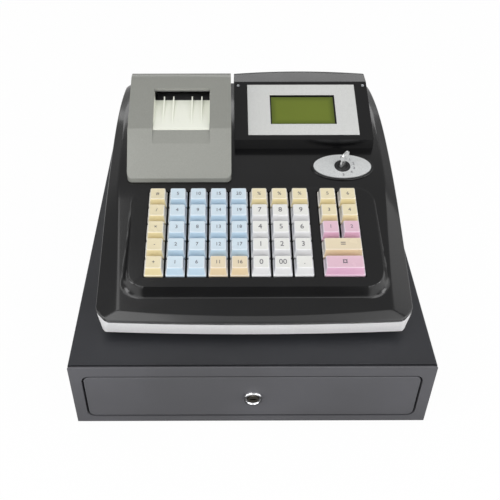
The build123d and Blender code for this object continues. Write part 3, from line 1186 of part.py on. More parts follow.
def customer_opening(margin):
    """The part of the hood's back that the customer window fills, less a margin all round."""
    layer = hood_blank(0) - hood_blank(CUSTOMER_THICK)
    size = Box(CUSTOMER_WIDTH - 2 * margin, CUSTOMER_HEIGHT - 2 * margin, HOOD_TOP_RADIUS)
    return layer & customer_place() * size


def display_hood():
    """The black display housing on the deck, hollow, with a window in its panel and one in its back."""
    hood = hood_blank(0) - hood_blank(HOOD_WALL) - deck_solid(0)
    s0 = along_hood(WINDOW_START)
    opening = block(WINDOW_LEFT - LCD_RIM, WINDOW_RIGHT + LCD_RIM, s0 - LCD_RIM, s0 + WINDOW_LENGTH + LCD_RIM,
                    -3 * HOOD_WALL, HOOD_WALL)
    hood -= HOOD * opening
    return REGISTER * (hood - customer_opening(0))


def customer_place():
    """The middle of the customer window, on the hood's back."""
    back = radians(HOOD_BACK_SLOPE)
    start_y = HOOD_EDGE_Y + HOOD_TOP_RADIUS * sin(back)
    start_z = HOOD_BROW_Z - HOOD_TOP_RADIUS + HOOD_TOP_RADIUS * cos(back)
    down = CUSTOMER_HEIGHT / 2 + 1.5
    return Pos(HOOD_MIDDLE, start_y + down * cos(back), start_z - down * sin(back)) * Rot(-HOOD_BACK_SLOPE, 0, 0)


def customer_window():
    """The smoked window of the customer's display, let into the hood's back."""
    return REGISTER * customer_opening(0.1)


def display_fascia():
    """The silver plate round the display's window."""
    s0 = along_hood(FASCIA_START)
    plate = block(FASCIA_LEFT, FASCIA_RIGHT, s0, s0 + FASCIA_LENGTH, 0, FASCIA_THICK)
    w0 = along_hood(WINDOW_START)
    window = block(WINDOW_LEFT, WINDOW_RIGHT, w0, w0 + WINDOW_LENGTH, -1, FASCIA_THICK + 1)
    return REGISTER * HOOD * (plate - window)


def lcd_panel():
    """The display module: a glass behind the window, on its backing."""
    w0 = along_hood(WINDOW_START)
    rim = LCD_RIM - 0.2
    glass = block(WINDOW_LEFT - rim, WINDOW_RIGHT + rim, w0 - rim, w0 + WINDOW_LENGTH + rim,
                  FASCIA_THICK - LCD_DROP - 5, FASCIA_THICK - LCD_DROP)
    return REGISTER * HOOD * glass


def mode_escutcheon():
    """The silver oval plate round the mode lock."""
    plate = oval(OVAL_LENGTH, OVAL_WIDTH, 0.2, 0.2 + OVAL_THICK)
    return REGISTER * (plate - oval_place(0) * Cylinder(MODE_RADIUS + 0.2, 12))


def mode_lock():
    """The black mode lock's housing through the plate, bored for its core."""
    high = 0.2 + OVAL_THICK + MODE_PROUD
    body = oval_place((high - MODE_DEPTH) / 2) * Cylinder(MODE_RADIUS, high + MODE_DEPTH)
    bore = oval_place((high - MODE_DEPTH) / 2) * Cylinder(MODE_CORE_RADIUS + CORE_FIT, high + MODE_DEPTH + 2)
    return REGISTER * (body - bore)


def mode_key():
    """The mode lock's core with the key standing in it."""
    high = 0.2 + OVAL_THICK + MODE_PROUD - 0.3
    core = Pos(0, 0, (high - MODE_DEPTH) / 2) * Cylinder(MODE_CORE_RADIUS, high + MODE_DEPTH)
    half = KEY_BLADE_THICK / 2
    blade = block(-half, half, -KEY_BLADE_WIDTH / 2, KEY_BLADE_WIDTH / 2, high - 1, high + KEY_BLADE_RISE + 1)
    bow_z = high + KEY_BLADE_RISE + KEY_BOW_HEIGHT / 2
    bow_plane = Plane(origin=(-half, KEY_BOW_OFFSET, bow_z), x_dir=(0, 1, 0), z_dir=(1, 0, 0))
    bow_shape = RectangleRounded(KEY_BOW_WIDTH, KEY_BOW_HEIGHT, KEY_BOW_CORNER)
    bow = extrude(bow_plane.location * bow_shape, amount=KEY_BLADE_THICK)
    ring_z = bow_z + KEY_BOW_HEIGHT / 2 - KEY_RING_HOLE - 1.8
    key = blade + bow - rod_x(-half - 1, half + 1, KEY_BOW_OFFSET, ring_z, KEY_RING_HOLE)
    return REGISTER * oval_place(0) * Rot(0, 0, KEY_TURN) * (core + key)


# ==== every node ==============================================================================================
NODES = {
    "cabinet_shell": cabinet_shell, "front_frame": front_frame, "base_pan": base_pan, "rubber_feet": rubber_feet,
    "slide_rails": slide_rails, "drawer_tub": drawer_tub, "drawer_front": drawer_front,
    "drawer_glides": drawer_glides, "cash_tray": cash_tray, "clip_rod": clip_rod, "lock_barrel": lock_barrel,
    "lock_core": lock_core, "latch_solenoid": latch_solenoid, "latch_bolt": latch_bolt, "base_tray": base_tray,
    "top_shell": top_shell, "rear_sockets": rear_sockets, "main_board": main_board, "key_plate": key_plate,
    "printer_cover": printer_cover, "paper_guide": paper_guide, "tear_bar": tear_bar,
    "printer_frame": printer_frame, "platen_roller": platen_roller, "platen_gear": platen_gear,
    "motor_pinion": motor_pinion, "feed_motor": feed_motor, "paper_roll": paper_roll,
    "display_hood": display_hood, "display_fascia": display_fascia, "lcd_panel": lcd_panel,
    "customer_window": customer_window, "mode_escutcheon": mode_escutcheon, "mode_lock": mode_lock,
    "mode_key": mode_key,
}


def write(name, made):
    """One STEP file for a node; separate solids of a node stay separate."""
    shapes = made if isinstance(made, list) else [made]
    solids = [solid for shape in shapes for solid in shape.solids()]
    export_step(solids[0] if len(solids) == 1 else Compound(children=solids), f"parts/{name}.step")


for node, make in NODES.items():
    write(node, make())
for number, (left, right) in enumerate(tray_bays(), start=1):
    write(f"note_clip_{number}", note_clip(left, right))
for node, caps in keyboard().items():
    write(node, caps)
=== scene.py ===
import math

import bpy
import numpy as np
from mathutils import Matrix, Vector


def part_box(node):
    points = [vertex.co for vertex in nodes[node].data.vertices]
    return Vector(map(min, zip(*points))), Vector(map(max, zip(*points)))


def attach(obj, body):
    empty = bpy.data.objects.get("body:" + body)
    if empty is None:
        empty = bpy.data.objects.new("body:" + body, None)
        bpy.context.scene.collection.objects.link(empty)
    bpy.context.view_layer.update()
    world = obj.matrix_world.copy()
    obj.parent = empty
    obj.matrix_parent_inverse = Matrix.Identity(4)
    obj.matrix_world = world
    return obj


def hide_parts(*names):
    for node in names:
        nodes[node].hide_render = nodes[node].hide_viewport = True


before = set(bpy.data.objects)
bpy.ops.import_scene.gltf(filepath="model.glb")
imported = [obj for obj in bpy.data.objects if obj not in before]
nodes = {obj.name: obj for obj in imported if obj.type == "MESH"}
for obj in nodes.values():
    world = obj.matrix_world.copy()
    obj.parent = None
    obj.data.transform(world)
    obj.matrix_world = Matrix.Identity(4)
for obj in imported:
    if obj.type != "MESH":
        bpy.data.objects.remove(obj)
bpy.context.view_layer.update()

case_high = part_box("cabinet_shell")[1]
front_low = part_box("front_frame")[0]
base_low, base_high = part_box("base_tray")


# ---- studio -------------------------------------------------------------------------------------------------
# Plain white sweep under a product on a table: a camera above the drawer's front, nine soft boxes and a pale room.
# The floor looks white to the camera and keeps a faint shadow; in reflections it is painted: a painted bright
# reflection beside the product, and painted shade in front of it.
PICTURE_SIZE = 500.0
EYE = (-0.0237, front_low.y - 0.4237, case_high.z + 0.5223)
LOOK_DOWN = 39.57
LOOK_RIGHT = 0.20
SENSOR = 36.0
FOCAL_PIXELS = 732.7
LENS = FOCAL_PIXELS / PICTURE_SIZE * SENSOR
OPTICAL_AXIS = (228.0, 220.2)

camera_data = bpy.data.cameras.new("camera")
camera_data.sensor_width = SENSOR
camera_data.lens = LENS
camera_data.shift_x = (PICTURE_SIZE / 2 - OPTICAL_AXIS[0]) / PICTURE_SIZE
camera_data.shift_y = (OPTICAL_AXIS[1] - PICTURE_SIZE / 2) / PICTURE_SIZE
camera = bpy.data.objects.new("camera", camera_data)
camera.location = EYE
camera.rotation_euler = (math.radians(90 - LOOK_DOWN), 0.0, -math.radians(LOOK_RIGHT))
bpy.context.scene.collection.objects.link(camera)
bpy.context.scene.camera = camera
bpy.context.scene.view_settings.view_transform = "Standard"


def soft_box(name, place, target, width, height, watts):
    """A rectangular lamp at a place, turned towards a target."""
    data = bpy.data.lights.new(name, "AREA")
    data.shape = "RECTANGLE"
    data.size, data.size_y, data.energy = width, height, watts
    lamp = bpy.data.objects.new(name, data)
    bpy.context.scene.collection.objects.link(lamp)
    lamp.location = place
    aim = np.array(target) - np.array(place)
    lamp.rotation_euler = (math.atan2(math.hypot(aim[0], aim[1]), -aim[2]), 0.0, math.atan2(-aim[0], aim[1]))


MIDDLE = (0.0, 0.0, 0.1)
soft_box("front_left_box", (-1.0, -1.1, 1.3), MIDDLE, 1.5, 1.2, 11.0)
soft_box("front_right_box", (1.1, -1.2, 1.1), MIDDLE, 1.2, 1.2, 8.0)
soft_box("left_low_box", (-1.15, -0.52, 0.42), (-0.1, -0.1, 0.1), 0.4, 0.5, 2.2)
soft_box("right_low_box", (1.15, -0.52, 0.42), (0.1, -0.1, 0.1), 0.4, 0.5, 2.2)
soft_box("right_box", (1.3, 0.1, 0.7), (0.1, 0.0, 0.12), 0.8, 1.6, 3.5)
soft_box("front_box", (0.0, -1.9, 0.6), MIDDLE, 3.0, 1.0, 11.0)
soft_box("high_box", (0.0, -1.1, 1.75), MIDDLE, 2.6, 0.5, 3.2)
soft_box("left_top_box", (-0.62, -0.05, 1.8), (-0.2, -0.1, 0.1), 0.9, 0.4, 2.0)
soft_box("back_box", (0.0, 2.0, 1.15), MIDDLE, 2.6, 0.6, 8.0)


class Shade:
    """A socket of one material's nodes. Sums and products of shades add Math nodes; node() adds any other kind."""

    def __init__(self, tree, socket=None):
        self.tree = tree
        self.socket = socket

    def node(self, kind, settings=None, sockets=None, out=0):
        """Adds a node: its settings are set first, then its sockets' values or links; out picks its output."""
        made = self.tree.nodes.new("ShaderNode" + kind)
        for name, value in (settings or {}).items():
            if name == "stops":
                ramp = made.color_ramp.elements
                while len(ramp) < len(value):
                    ramp.new(0.5)
                for element, (position, colour) in zip(ramp, value):
                    element.position = position
                    element.color = colour
            else:
                setattr(made, name, value)
        for name, value in (sockets or {}).items():
            if isinstance(value, Shade):
                self.tree.links.new(value.socket, made.inputs[name])
            else:
                made.inputs[name].default_value = value
        return Shade(self.tree, made.outputs[out] if len(made.outputs) else None)

    def math(self, operation, *values):
        return self.node("Math", {"operation": operation}, dict(enumerate(values)))

    def __add__(self, other):
        return self.math("ADD", self, other)

    __radd__ = __add__

    def __sub__(self, other):
        return self.math("SUBTRACT", self, other)

    def __rsub__(self, other):
        return self.math("SUBTRACT", other, self)

    def __mul__(self, other):
        return self.math("MULTIPLY", self, other)

    __rmul__ = __mul__

    def __abs__(self):
        return self.math("ABSOLUTE", self)

    def step(self, low, high):
        """0 where this is under low, 1 over high, and a smooth rise between; low may be the higher."""
        return self.node("MapRange", {"interpolation_type": "SMOOTHSTEP"},
                         {"Value": self, "From Min": low, "From Max": high})

    def mix(self, first, second):
        """The first colour where this is 0, the second where it is 1."""
        return self.node("Mix", {"data_type": "RGBA"}, {0: self, 6: first, 7: second}, out=2)

    def part(self, axis):
        """One coordinate, 0 to 2, of this vector."""
        return self.node("SeparateXYZ", {}, {0: self}, out=axis)


def colour(red, green, blue):
    """A display colour, 0 to 255 each, as the linear colour that a shader takes."""
    def linear(level):
        share = level / 255
        return share / 12.92 if share <= 0.04045 else ((share + 0.055) / 1.055) ** 2.4
    return (linear(red), linear(green), linear(blue), 1.0)


def new_material(name):
    """An empty material, as a Shade to add nodes with and a way to close it with a surface."""
    material = bpy.data.materials.new(name)
    material.use_nodes = True
    material.node_tree.nodes.clear()
    return material, Shade(material.node_tree)


def surface_of(shade, surface):
    """Ends a material with its surface."""
    shade.node("OutputMaterial", {}, {"Surface": surface})


floor_material, build = new_material("white_sweep")
camera_ray = build.node("LightPath", out=0)
glossy_ray = build.node("LightPath", out=3)
through_ray = build.node("LightPath", out=6)
beside = abs(build.node("TexCoord", out=3).part(0)).step(0.16, 0.34)
PURE_WHITE, PAPER_WHITE, PAPER_SHADE = [(level, level, level, 1.0) for level in (1.0, 0.86, 0.10)]
# Painted shade: reflected rays in front of the product see the floor dark, PAPER_SHADE, instead of white.
paper = (glossy_ray * (1.0 - beside)).mix(PAPER_WHITE, PAPER_SHADE)
lit_floor = build.node("BsdfDiffuse", {}, {"Color": paper})
white_floor = build.node("Emission", {}, {"Color": PURE_WHITE, "Strength": 1.0})
# Painted reflection: beside the product the floor glows for reflected rays.
seen_white = camera_ray * 0.97 + glossy_ray * beside * 0.45 + through_ray * 0.6
white_share = seen_white.math("MINIMUM", seen_white, 1.0)
surface_of(build, build.node("MixShader", {}, {0: white_share, 1: lit_floor, 2: white_floor}))

FLOOR_REACH = 6.0
floor_mesh = bpy.data.meshes.new("floor")
floor_mesh.from_pydata(
    [(x * FLOOR_REACH, y * FLOOR_REACH, 0.0) for x, y in ((-1, -1), (1, -1), (1, 1), (-1, 1))], [], [(0, 1, 2, 3)])
floor_mesh.materials.append(floor_material)
floor = bpy.data.objects.new("floor", floor_mesh)
bpy.context.scene.collection.objects.link(floor)

world = bpy.data.worlds.new("pale_room")
bpy.context.scene.world = world
world.use_nodes = True
world.node_tree.nodes.clear()
room = Shade(world.node_tree)
direct_view = room.node("LightPath", out=0)
room_light = room.node("Background", {}, {"Color": PURE_WHITE, "Strength": 0.40})
room_white = room.node("Background", {}, {"Color": PURE_WHITE, "Strength": 1.0})
room_mix = room.node("MixShader", {}, {0: direct_view, 1: room_light, 2: room_white})
room.node("OutputWorld", {}, {"Surface": room_mix})


# ---- cash drawer's case and front ---------------------------------------------------------------------------
# Folded steel sheet with a textured powder coat: the case and lid are darker, with painted shade, and the front frame
# and drawer panel lighter, with painted light.
# The coat's orange peel is a fine bump, and its tone drifts a little over a sheet.
def powder_coat(name, tone, light_tone, rough):
    """Powder coat: the tone drifts in soft patches, and two sizes of grain roughen it."""
    material, coat = new_material(name)
    place = coat.node("TexCoord", out=3)
    drift = coat.node("TexNoise", {}, {"Vector": place, "Scale": 9.0, "Detail": 3.0}).step(0.3, 0.75)
    peel = coat.node("TexNoise", {}, {"Vector": place, "Scale": 900.0, "Detail": 2.0, "Roughness": 0.6})
    speck = coat.node("TexVoronoi", {}, {"Vector": place, "Scale": 1400.0}).step(0.12, 0.3)
    base = drift.mix(tone, light_tone)
    grain = peel * 0.7 + speck * 0.3
    bump = coat.node("Bump", {}, {"Strength": 0.22, "Distance": 0.00012, "Height": grain})
    surface_of(coat, coat.node("BsdfPrincipled", {}, {
        "Base Color": base, "Roughness": peel * 0.10 + rough, "Normal": bump, "Specular IOR Level": 0.42,
    }))
    return material


def dress(material, *names):
    """Gives a CAD node's mesh one material."""
    for name in names:
        mesh = nodes[name].data
        mesh.materials.clear()
        mesh.materials.append(material)


# Painted shade and light: the case's coat is darker to deepen the shade under the register, and the front's coat
# lighter for the light on the front.
case_coat_painted_shade = powder_coat("case_powder_coat_painted_shade", colour(38, 39, 42), colour(45, 46, 50), 0.44)
front_coat_painted_light = powder_coat("front_powder_coat_painted_light", colour(81, 81, 84), colour(88, 88, 92), 0.46)
dress(case_coat_painted_shade, "cabinet_shell")
dress(front_coat_painted_light, "front_frame", "drawer_front")


# ---- inside the drawer --------------------------------------------------------------------------------------
# Primed sheet tub and pan, zinc plated rails, nylon glides, a grained black tray, and rubber feet.
# All stay as they are built; each has the finish of its own stuff.
def moulded(name, tone, rough, grain=700.0, depth=0.00006, coat=0.0, spec=0.5):
    """Moulded plastic: a fine sand grain, with the tone drifting slightly as the melt cooled."""
    material, shade = new_material(name)
    place = shade.node("TexCoord", out=3)
    drift = shade.node("TexNoise", {}, {"Vector": place, "Scale": 14.0, "Detail": 2.0}).step(0.25, 0.8)
    sand = shade.node("TexNoise", {}, {"Vector": place, "Scale": grain, "Detail": 3.0, "Roughness": 0.65})
    darker = tuple(level * 0.94 for level in tone[:3]) + (1.0,)
    bump = shade.node("Bump", {}, {"Strength": 0.25, "Distance": depth, "Height": sand})
    surface_of(shade, shade.node("BsdfPrincipled", {}, {
        "Base Color": drift.mix(darker, tone), "Roughness": sand * 0.12 + (rough - 0.06), "Normal": bump,
        "Coat Weight": coat, "Coat Roughness": 0.12, "Specular IOR Level": spec,
    }))
    return material


def plated(name, tone, rough, stretch=(1.0, 1.0, 1.0)):
    """Bare or plated metal: fine drawn lines along the direction that is stretched least."""
    material, shade = new_material(name)
    place = shade.node("TexCoord", out=3)
    lines = shade.node("Mapping", {}, {"Vector": place, "Scale": stretch})
    grain = shade.node("TexNoise", {}, {"Vector": lines, "Scale": 900.0, "Detail": 3.0})
    dull = shade.node("TexNoise", {}, {"Vector": place, "Scale": 30.0, "Detail": 4.0}).step(0.35, 0.8)
    darker = tuple(level * 0.82 for level in tone[:3]) + (1.0,)
    bump = shade.node("Bump", {}, {"Strength": 0.12, "Distance": 0.00003, "Height": grain})
    surface_of(shade, shade.node("BsdfPrincipled", {}, {
        "Base Color": dull.mix(tone, darker), "Metallic": 1.0,
        "Roughness": grain * 0.12 + dull * 0.08 + (rough - 0.08), "Normal": bump,
    }))
    return material


primer = powder_coat("grey_primer", colour(88, 88, 92), colour(96, 96, 100), 0.5)
zinc = plated("zinc_plate", colour(196, 199, 202), 0.34, (1.0, 0.05, 1.0))
bright_steel = plated("bright_steel", colour(214, 214, 216), 0.16)
ground_steel = plated("ground_steel", colour(200, 200, 202), 0.3, (1.0, 1.0, 0.06))
foot_rubber = moulded("foot_rubber", colour(34, 34, 35), 0.75, 500.0, 0.0001)
nylon = moulded("natural_nylon", colour(226, 224, 212), 0.45)
tray_plastic = moulded("tray_plastic", colour(48, 48, 51), 0.5, 500.0, 0.0001)
clip_plastic = moulded("clip_plastic", colour(52, 52, 55), 0.35)
coil_tape = moulded("coil_tape", colour(92, 70, 38), 0.5)
dress(primer, "drawer_tub", "base_pan")
dress(zinc, "slide_rails")
dress(bright_steel, "clip_rod")
dress(ground_steel, "latch_bolt")
dress(foot_rubber, "rubber_feet")
dress(nylon, "drawer_glides")
dress(tray_plastic, "cash_tray")
dress(clip_plastic, *(f"note_clip_{number}" for number in (1, 2, 3, 4)))
dress(coil_tape, "latch_solenoid")


# ---- drawer lock --------------------------------------------------------------------------------------------
# A nickel plated cam lock: a turned face ring through the panel, with the plug and its keyway inside it.
# The ring is turned on a lathe: a profile of radius and height carried round the lock's axis.
MILLIMETRE = 0.001


def quads(index):
    """The cells of a grid of point numbers, four corners each."""
    return np.stack([index[:-1, :-1], index[:-1, 1:], index[1:, 1:], index[1:, :-1]], axis=-1).reshape(-1, 4)


def skin(name, grid, wrap_rows=False, wrap_columns=False, caps=False):
    """A mesh of quads over a grid of points, in metres: wrap joins last to first, caps close the ends."""
    rows, columns = grid.shape[:2]
    index = np.arange(rows * columns).reshape(rows, columns)
    if wrap_rows:
        index = np.vstack([index, index[:1]])
    if wrap_columns:
        index = np.hstack([index, index[:, :1]])
    faces = quads(index).tolist()
    if caps:
        faces.append(index[0, :columns][::-1].tolist())
        faces.append(index[-1, :columns].tolist())
    mesh = bpy.data.meshes.new(name)
    mesh.from_pydata(grid.reshape(-1, 3).tolist(), [], faces)
    return mesh


def piece(name, mesh, materials, body, replaces=(), sharp=40.0):
    """A finished object of a mesh: smooth but for edges over an angle, on a body, standing for CAD nodes."""
    for material in materials if isinstance(materials, (list, tuple)) else [materials]:
        mesh.materials.append(material)
    mesh.shade_smooth()
    mesh.set_sharp_from_angle(angle=math.radians(sharp))
    made = bpy.data.objects.new(name, mesh)
    bpy.context.scene.collection.objects.link(made)
    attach(made, body)
    if replaces:
        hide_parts(*replaces)
    return made


def turned(profile, centre, axis, across, steps=72, squeeze=1.0):
    """A lathe's work: each (radius, height) of the profile becomes a circle about the axis at that height."""
    profile = np.array(profile) * MILLIMETRE
    axis, across = np.array(axis, float), np.array(across, float)
    third = np.cross(axis, across) * squeeze
    turn = np.linspace(0.0, 2 * np.pi, steps, endpoint=False)
    circle = np.cos(turn)[:, None] * across + np.sin(turn)[:, None] * third
    return np.array(centre) + profile[:, 0, None, None] * circle + profile[:, 1, None, None] * axis


lock_low, lock_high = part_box("lock_barrel")
LOCK_CENTRE = ((lock_low.x + lock_high.x) / 2, front_low.y, (lock_low.z + lock_high.z) / 2)
nickel = plated("bright_nickel", colour(226, 226, 229), 0.10)
worn_nickel = plated("worn_nickel", colour(178, 172, 160), 0.22)
ring_profile = [
    (5.15, -14.0), (5.15, 2.2), (5.35, 2.4), (6.1, 2.5), (6.5, 2.9), (6.7, 3.5), (7.0, 3.8), (7.6, 3.9),
    (8.3, 3.6), (8.9, 2.9), (9.2, 2.0), (9.3, 1.1), (9.3, 0.1), (9.2, 0.0), (8.0, 0.0), (8.0, -11.3),
    (11.0, -11.4), (11.0, -13.6), (8.0, -13.8), (8.0, -14.0),
]
ring = skin("lock_ring", turned(ring_profile, LOCK_CENTRE, (0, -1, 0), (1, 0, 0)), wrap_rows=True, wrap_columns=True)
piece("lock_ring", ring, nickel, "drawer", ["lock_barrel"])
dress(worn_nickel, "lock_core")


# ---- register: silver base ----------------------------------------------------------------------------------
# An injection moulded tray in silver paint: its wall leans outwards to the black shell's joint.
# Everything of the register is laid out in millimetres from the middle of the drawer's front top edge.
REGISTER_ORIGIN = np.array([(base_low.x + base_high.x) / 2, front_low.y, case_high.z])
BODY_HALF = (base_high.x - base_low.x) / 2 / MILLIMETRE


def placed(points):
    """Register coordinates, in millimetres, as points of the frame, in metres."""
    return np.asarray(points, float) * MILLIMETRE + REGISTER_ORIGIN


def metallic_paint(name, tone, rough, flake=0.35):
    """Silver paint on plastic: tiny flakes vary its brightness under a thin clear coat."""
    material, shade = new_material(name)
    place = shade.node("TexCoord", out=3)
    flakes = shade.node("TexVoronoi", {}, {"Vector": place, "Scale": 2600.0}, out=1).part(0)
    haze = shade.node("TexNoise", {}, {"Vector": place, "Scale": 11.0, "Detail": 3.0}).step(0.3, 0.8)
    low = tuple(level * (1 - 0.30 * flake) for level in tone[:3]) + (1.0,)
    high = tuple(min(1.0, level * (1 + 0.22 * flake)) for level in tone[:3]) + (1.0,)
    bump = shade.node("Bump", {}, {"Strength": 0.12, "Distance": 0.00005, "Height": flakes})
    surface_of(shade, shade.node("BsdfPrincipled", {}, {
        "Base Color": (flakes * 0.8 + haze * 0.2).mix(low, high), "Metallic": 0.08,
        "Roughness": flakes * 0.10 + (rough - 0.05), "Normal": bump, "Coat Weight": 0.15, "Coat Roughness": 0.25,
    }))
    return material


base_paint = metallic_paint("base_silver_paint", colour(248, 247, 249), 0.34)
dress(base_paint, "base_tray")
socket_plastic = moulded("socket_plastic", colour(30, 30, 32), 0.4)
dress(socket_plastic, "rear_sockets")
dress(moulded("board_mask", colour(24, 92, 48), 0.35), "main_board")


# ---- register: black shell ----------------------------------------------------------------------------------
# One black satin moulding: a sloping deck between two bevelled flanks, a bowed and chamfered front, and the raised
# keyboard field. The deck's height is worked out over its plan; its rim is rounded and drops to the silver base.
BODY_FRONT = 24.6
BODY_REAR = 365.0
BODY_BULGE = 3.4
CORNER_HALF = 135.0
CORNER_DEPTH = 12.0
CORNER_RADIUS = 8.0
REAR_RADIUS = 12.0
BAND_TOP = 30.0
SHELL_WALL = 2.5
SHELL_EDGE = 1.2
NOSE_LIP = 0.8
NOSE_SLOPE = 38.0
EDGE_LINE = (45.2, 36.3, 19.4, 120.0, ((600.0, 240.0), (310.0, 376.0)))
DECK_LINE = (30.2, 35.2, 20.9, 140.0, ((217.0, 165.0), (420.0, 376.0)))
CREASE_HALF = 122.0
CREASE_FAN = 0.0695
CREASE_FAN_REAR = 0.021
CREASE_BEND = 165.0
CREASE_ROUND = 0.5
NOSE_ROUND = 0.25
BOW_RADIUS = (CORNER_HALF ** 2 + BODY_BULGE ** 2) / (2 * BODY_BULGE)


def rising_line(y, line):
    """A roof line's height at y: straight at a slope as far as a point, then circular bends that ease it over."""
    at_y, at_z, slope, straight_to, bends = line
    angle = math.radians(slope)
    z = at_z + (np.minimum(y, straight_to) - at_y) * math.tan(angle)
    start = straight_to
    for radius, end in bends:
        along = np.clip(y, start, end) - start
        z = z + radius * (np.sqrt(1 - (math.sin(angle) - along / radius) ** 2) - math.cos(angle))
        angle = math.asin(math.sin(angle) - (end - start) / radius)
        start = end
    return z


def soft_least(a, b, blend):
    """The lower of two heights, rounded over where they are within blend of each other."""
    near = np.clip(1 - np.abs(a - b) / blend, 0, 1)
    return np.minimum(a, b) - near ** 2 * blend / 4


def soft_most(a, b, blend):
    """The higher of two heights, filled in where they are within blend of each other."""
    return -soft_least(-a, -b, blend)


def rounded_box_distance(x, y, half_x, half_y, radius):
    """How far a point is outside a rounded rectangle about the origin; under zero inside."""
    over_x, over_y = np.abs(x) - half_x + radius, np.abs(y) - half_y + radius
    outside = np.hypot(np.maximum(over_x, 0), np.maximum(over_y, 0))
    return outside + np.minimum(np.maximum(over_x, over_y), 0) - radius


BOARD_Y, BOARD_Z, BOARD_TILT = 68.2, 58.6, math.radians(15.2)
ISLAND_FRONT, ISLAND_HALF, ISLAND_SHIFT = 49.3, 118.2, 1.3
ISLAND_CORNER, ISLAND_LENGTH, ISLAND_DRAFT = 17.0, 112.0, math.radians(27.0)
ISLAND_EDGE, ISLAND_RIM, FOOT_FILLET, CORNER_FILLET = 0.7, 1.5, 1.6, 12.0
ISLAND_MIDDLE = (ISLAND_FRONT - BOARD_Y) / math.cos(BOARD_TILT) + ISLAND_LENGTH / 2


def island_height(x, y):
    """The keyboard field: a tilted plane inside its rounded outline, falling away outside it at the mould's draft."""
    depth = np.zeros_like(x)
    for _ in range(14):
        up = (y - BOARD_Y - depth * math.sin(BOARD_TILT)) / math.cos(BOARD_TILT)
        outside = rounded_box_distance(x - ISLAND_SHIFT, up - ISLAND_MIDDLE, ISLAND_HALF, ISLAND_LENGTH / 2,
                                       ISLAND_CORNER)
        depth = 0.5 * depth + 0.5 * np.maximum(outside, -ISLAND_RIM) / math.tan(ISLAND_DRAFT)
    plane = BOARD_Z + (y - BOARD_Y) * math.tan(BOARD_TILT)
    flank = BOARD_Z + up * math.sin(BOARD_TILT) - depth * math.cos(BOARD_TILT)
    return soft_least(plane, flank, ISLAND_EDGE)


def island_corner(x, y):
    """1 on the diagonals of the keyboard field's two front corners, 0 along its straight sides."""
    over_x = np.maximum(np.abs(x - ISLAND_SHIFT) - ISLAND_HALF + ISLAND_CORNER, 0)
    up = (y - BOARD_Y) / math.cos(BOARD_TILT)
    over_y = np.maximum(ISLAND_MIDDLE - up - ISLAND_LENGTH / 2 + ISLAND_CORNER, 0)
    return 2 * over_x * over_y / np.maximum(over_x ** 2 + over_y ** 2, 0.01)


def deck_height(y):
    return rising_line(y, DECK_LINE)


def shell_height(x, y):
    """The shell's top: the deck, its two bevels and the front chamfer, whichever is lowest, under the island."""
    deck, edge = deck_height(y), rising_line(y, EDGE_LINE)
    crease = CREASE_HALF + CREASE_FAN * np.minimum(y, CREASE_BEND) + CREASE_FAN_REAR * np.maximum(y - CREASE_BEND, 0)
    bevel = edge + (deck - edge) * (BODY_HALF - np.abs(x)) / (BODY_HALF - crease)
    inwards = BOW_RADIUS - np.hypot(x, y - BODY_FRONT - BOW_RADIUS)
    nose = BAND_TOP + NOSE_LIP + inwards * math.tan(math.radians(NOSE_SLOPE))
    roof = soft_least(soft_least(deck, bevel, CREASE_ROUND), nose, NOSE_ROUND)
    return soft_most(roof, island_height(x, y), FOOT_FILLET + (CORNER_FILLET - FOOT_FILLET) * island_corner(x, y))


def arc(centre, radius, start, stop, steps=10):
    """Points of a circle from one angle to another, in degrees."""
    turn = np.radians(np.linspace(start, stop, steps))
    return np.stack([centre[0] + radius * np.cos(turn), centre[1] + radius * np.sin(turn)], axis=-1)


def front_outline():
    """The right half of the front in plan, middle to side: the bow, the cut corner and their rounded meetings."""
    bow_y = BODY_FRONT + BODY_BULGE
    cut_angle = math.degrees(math.atan2(CORNER_DEPTH, BODY_HALF - CORNER_HALF))
    bow_end = math.degrees(math.asin(CORNER_HALF / BOW_RADIUS))
    first = CORNER_RADIUS * math.tan(math.radians((cut_angle - bow_end) / 2))
    second = CORNER_RADIUS * math.tan(math.radians((90 - cut_angle) / 2))
    cosine, sine = math.cos(math.radians(bow_end)), math.sin(math.radians(bow_end))
    start = np.array([CORNER_HALF, bow_y]) - first * np.array([cosine, sine])
    normal = np.array([-sine, cosine])
    round_one = arc(start + CORNER_RADIUS * normal, CORNER_RADIUS, bow_end - 90, cut_angle - 90)
    end = (BODY_HALF, bow_y + CORNER_DEPTH + second)
    round_two = arc((end[0] - CORNER_RADIUS, end[1]), CORNER_RADIUS, cut_angle - 90, 0)
    bow_x = np.linspace(0, start[0] - 0.5, 30)
    bow = np.stack([bow_x, BODY_FRONT + BOW_RADIUS - np.sqrt(BOW_RADIUS ** 2 - bow_x ** 2)], axis=-1)
    return np.vstack([bow, round_one, round_two])


def inset(outline, distance):
    """A plan line moved inwards, to the left of its direction, by a distance."""
    along = np.gradient(outline, axis=0)
    along /= np.hypot(along[:, 0], along[:, 1])[:, None]
    return outline + distance * np.stack([-along[:, 1], along[:, 0]], axis=-1)


def spread(stops):
    """Grid lines from (place, spacing) stops: each stretch is cut evenly at the spacing of its first place."""
    lines = []
    for (start, spacing), (stop, _) in zip(stops[:-1], stops[1:]):
        count = max(1, round(abs(stop - start) / spacing))
        lines.extend(np.linspace(start, stop, count, endpoint=False))
    return np.array(lines + [stops[-1][0]])


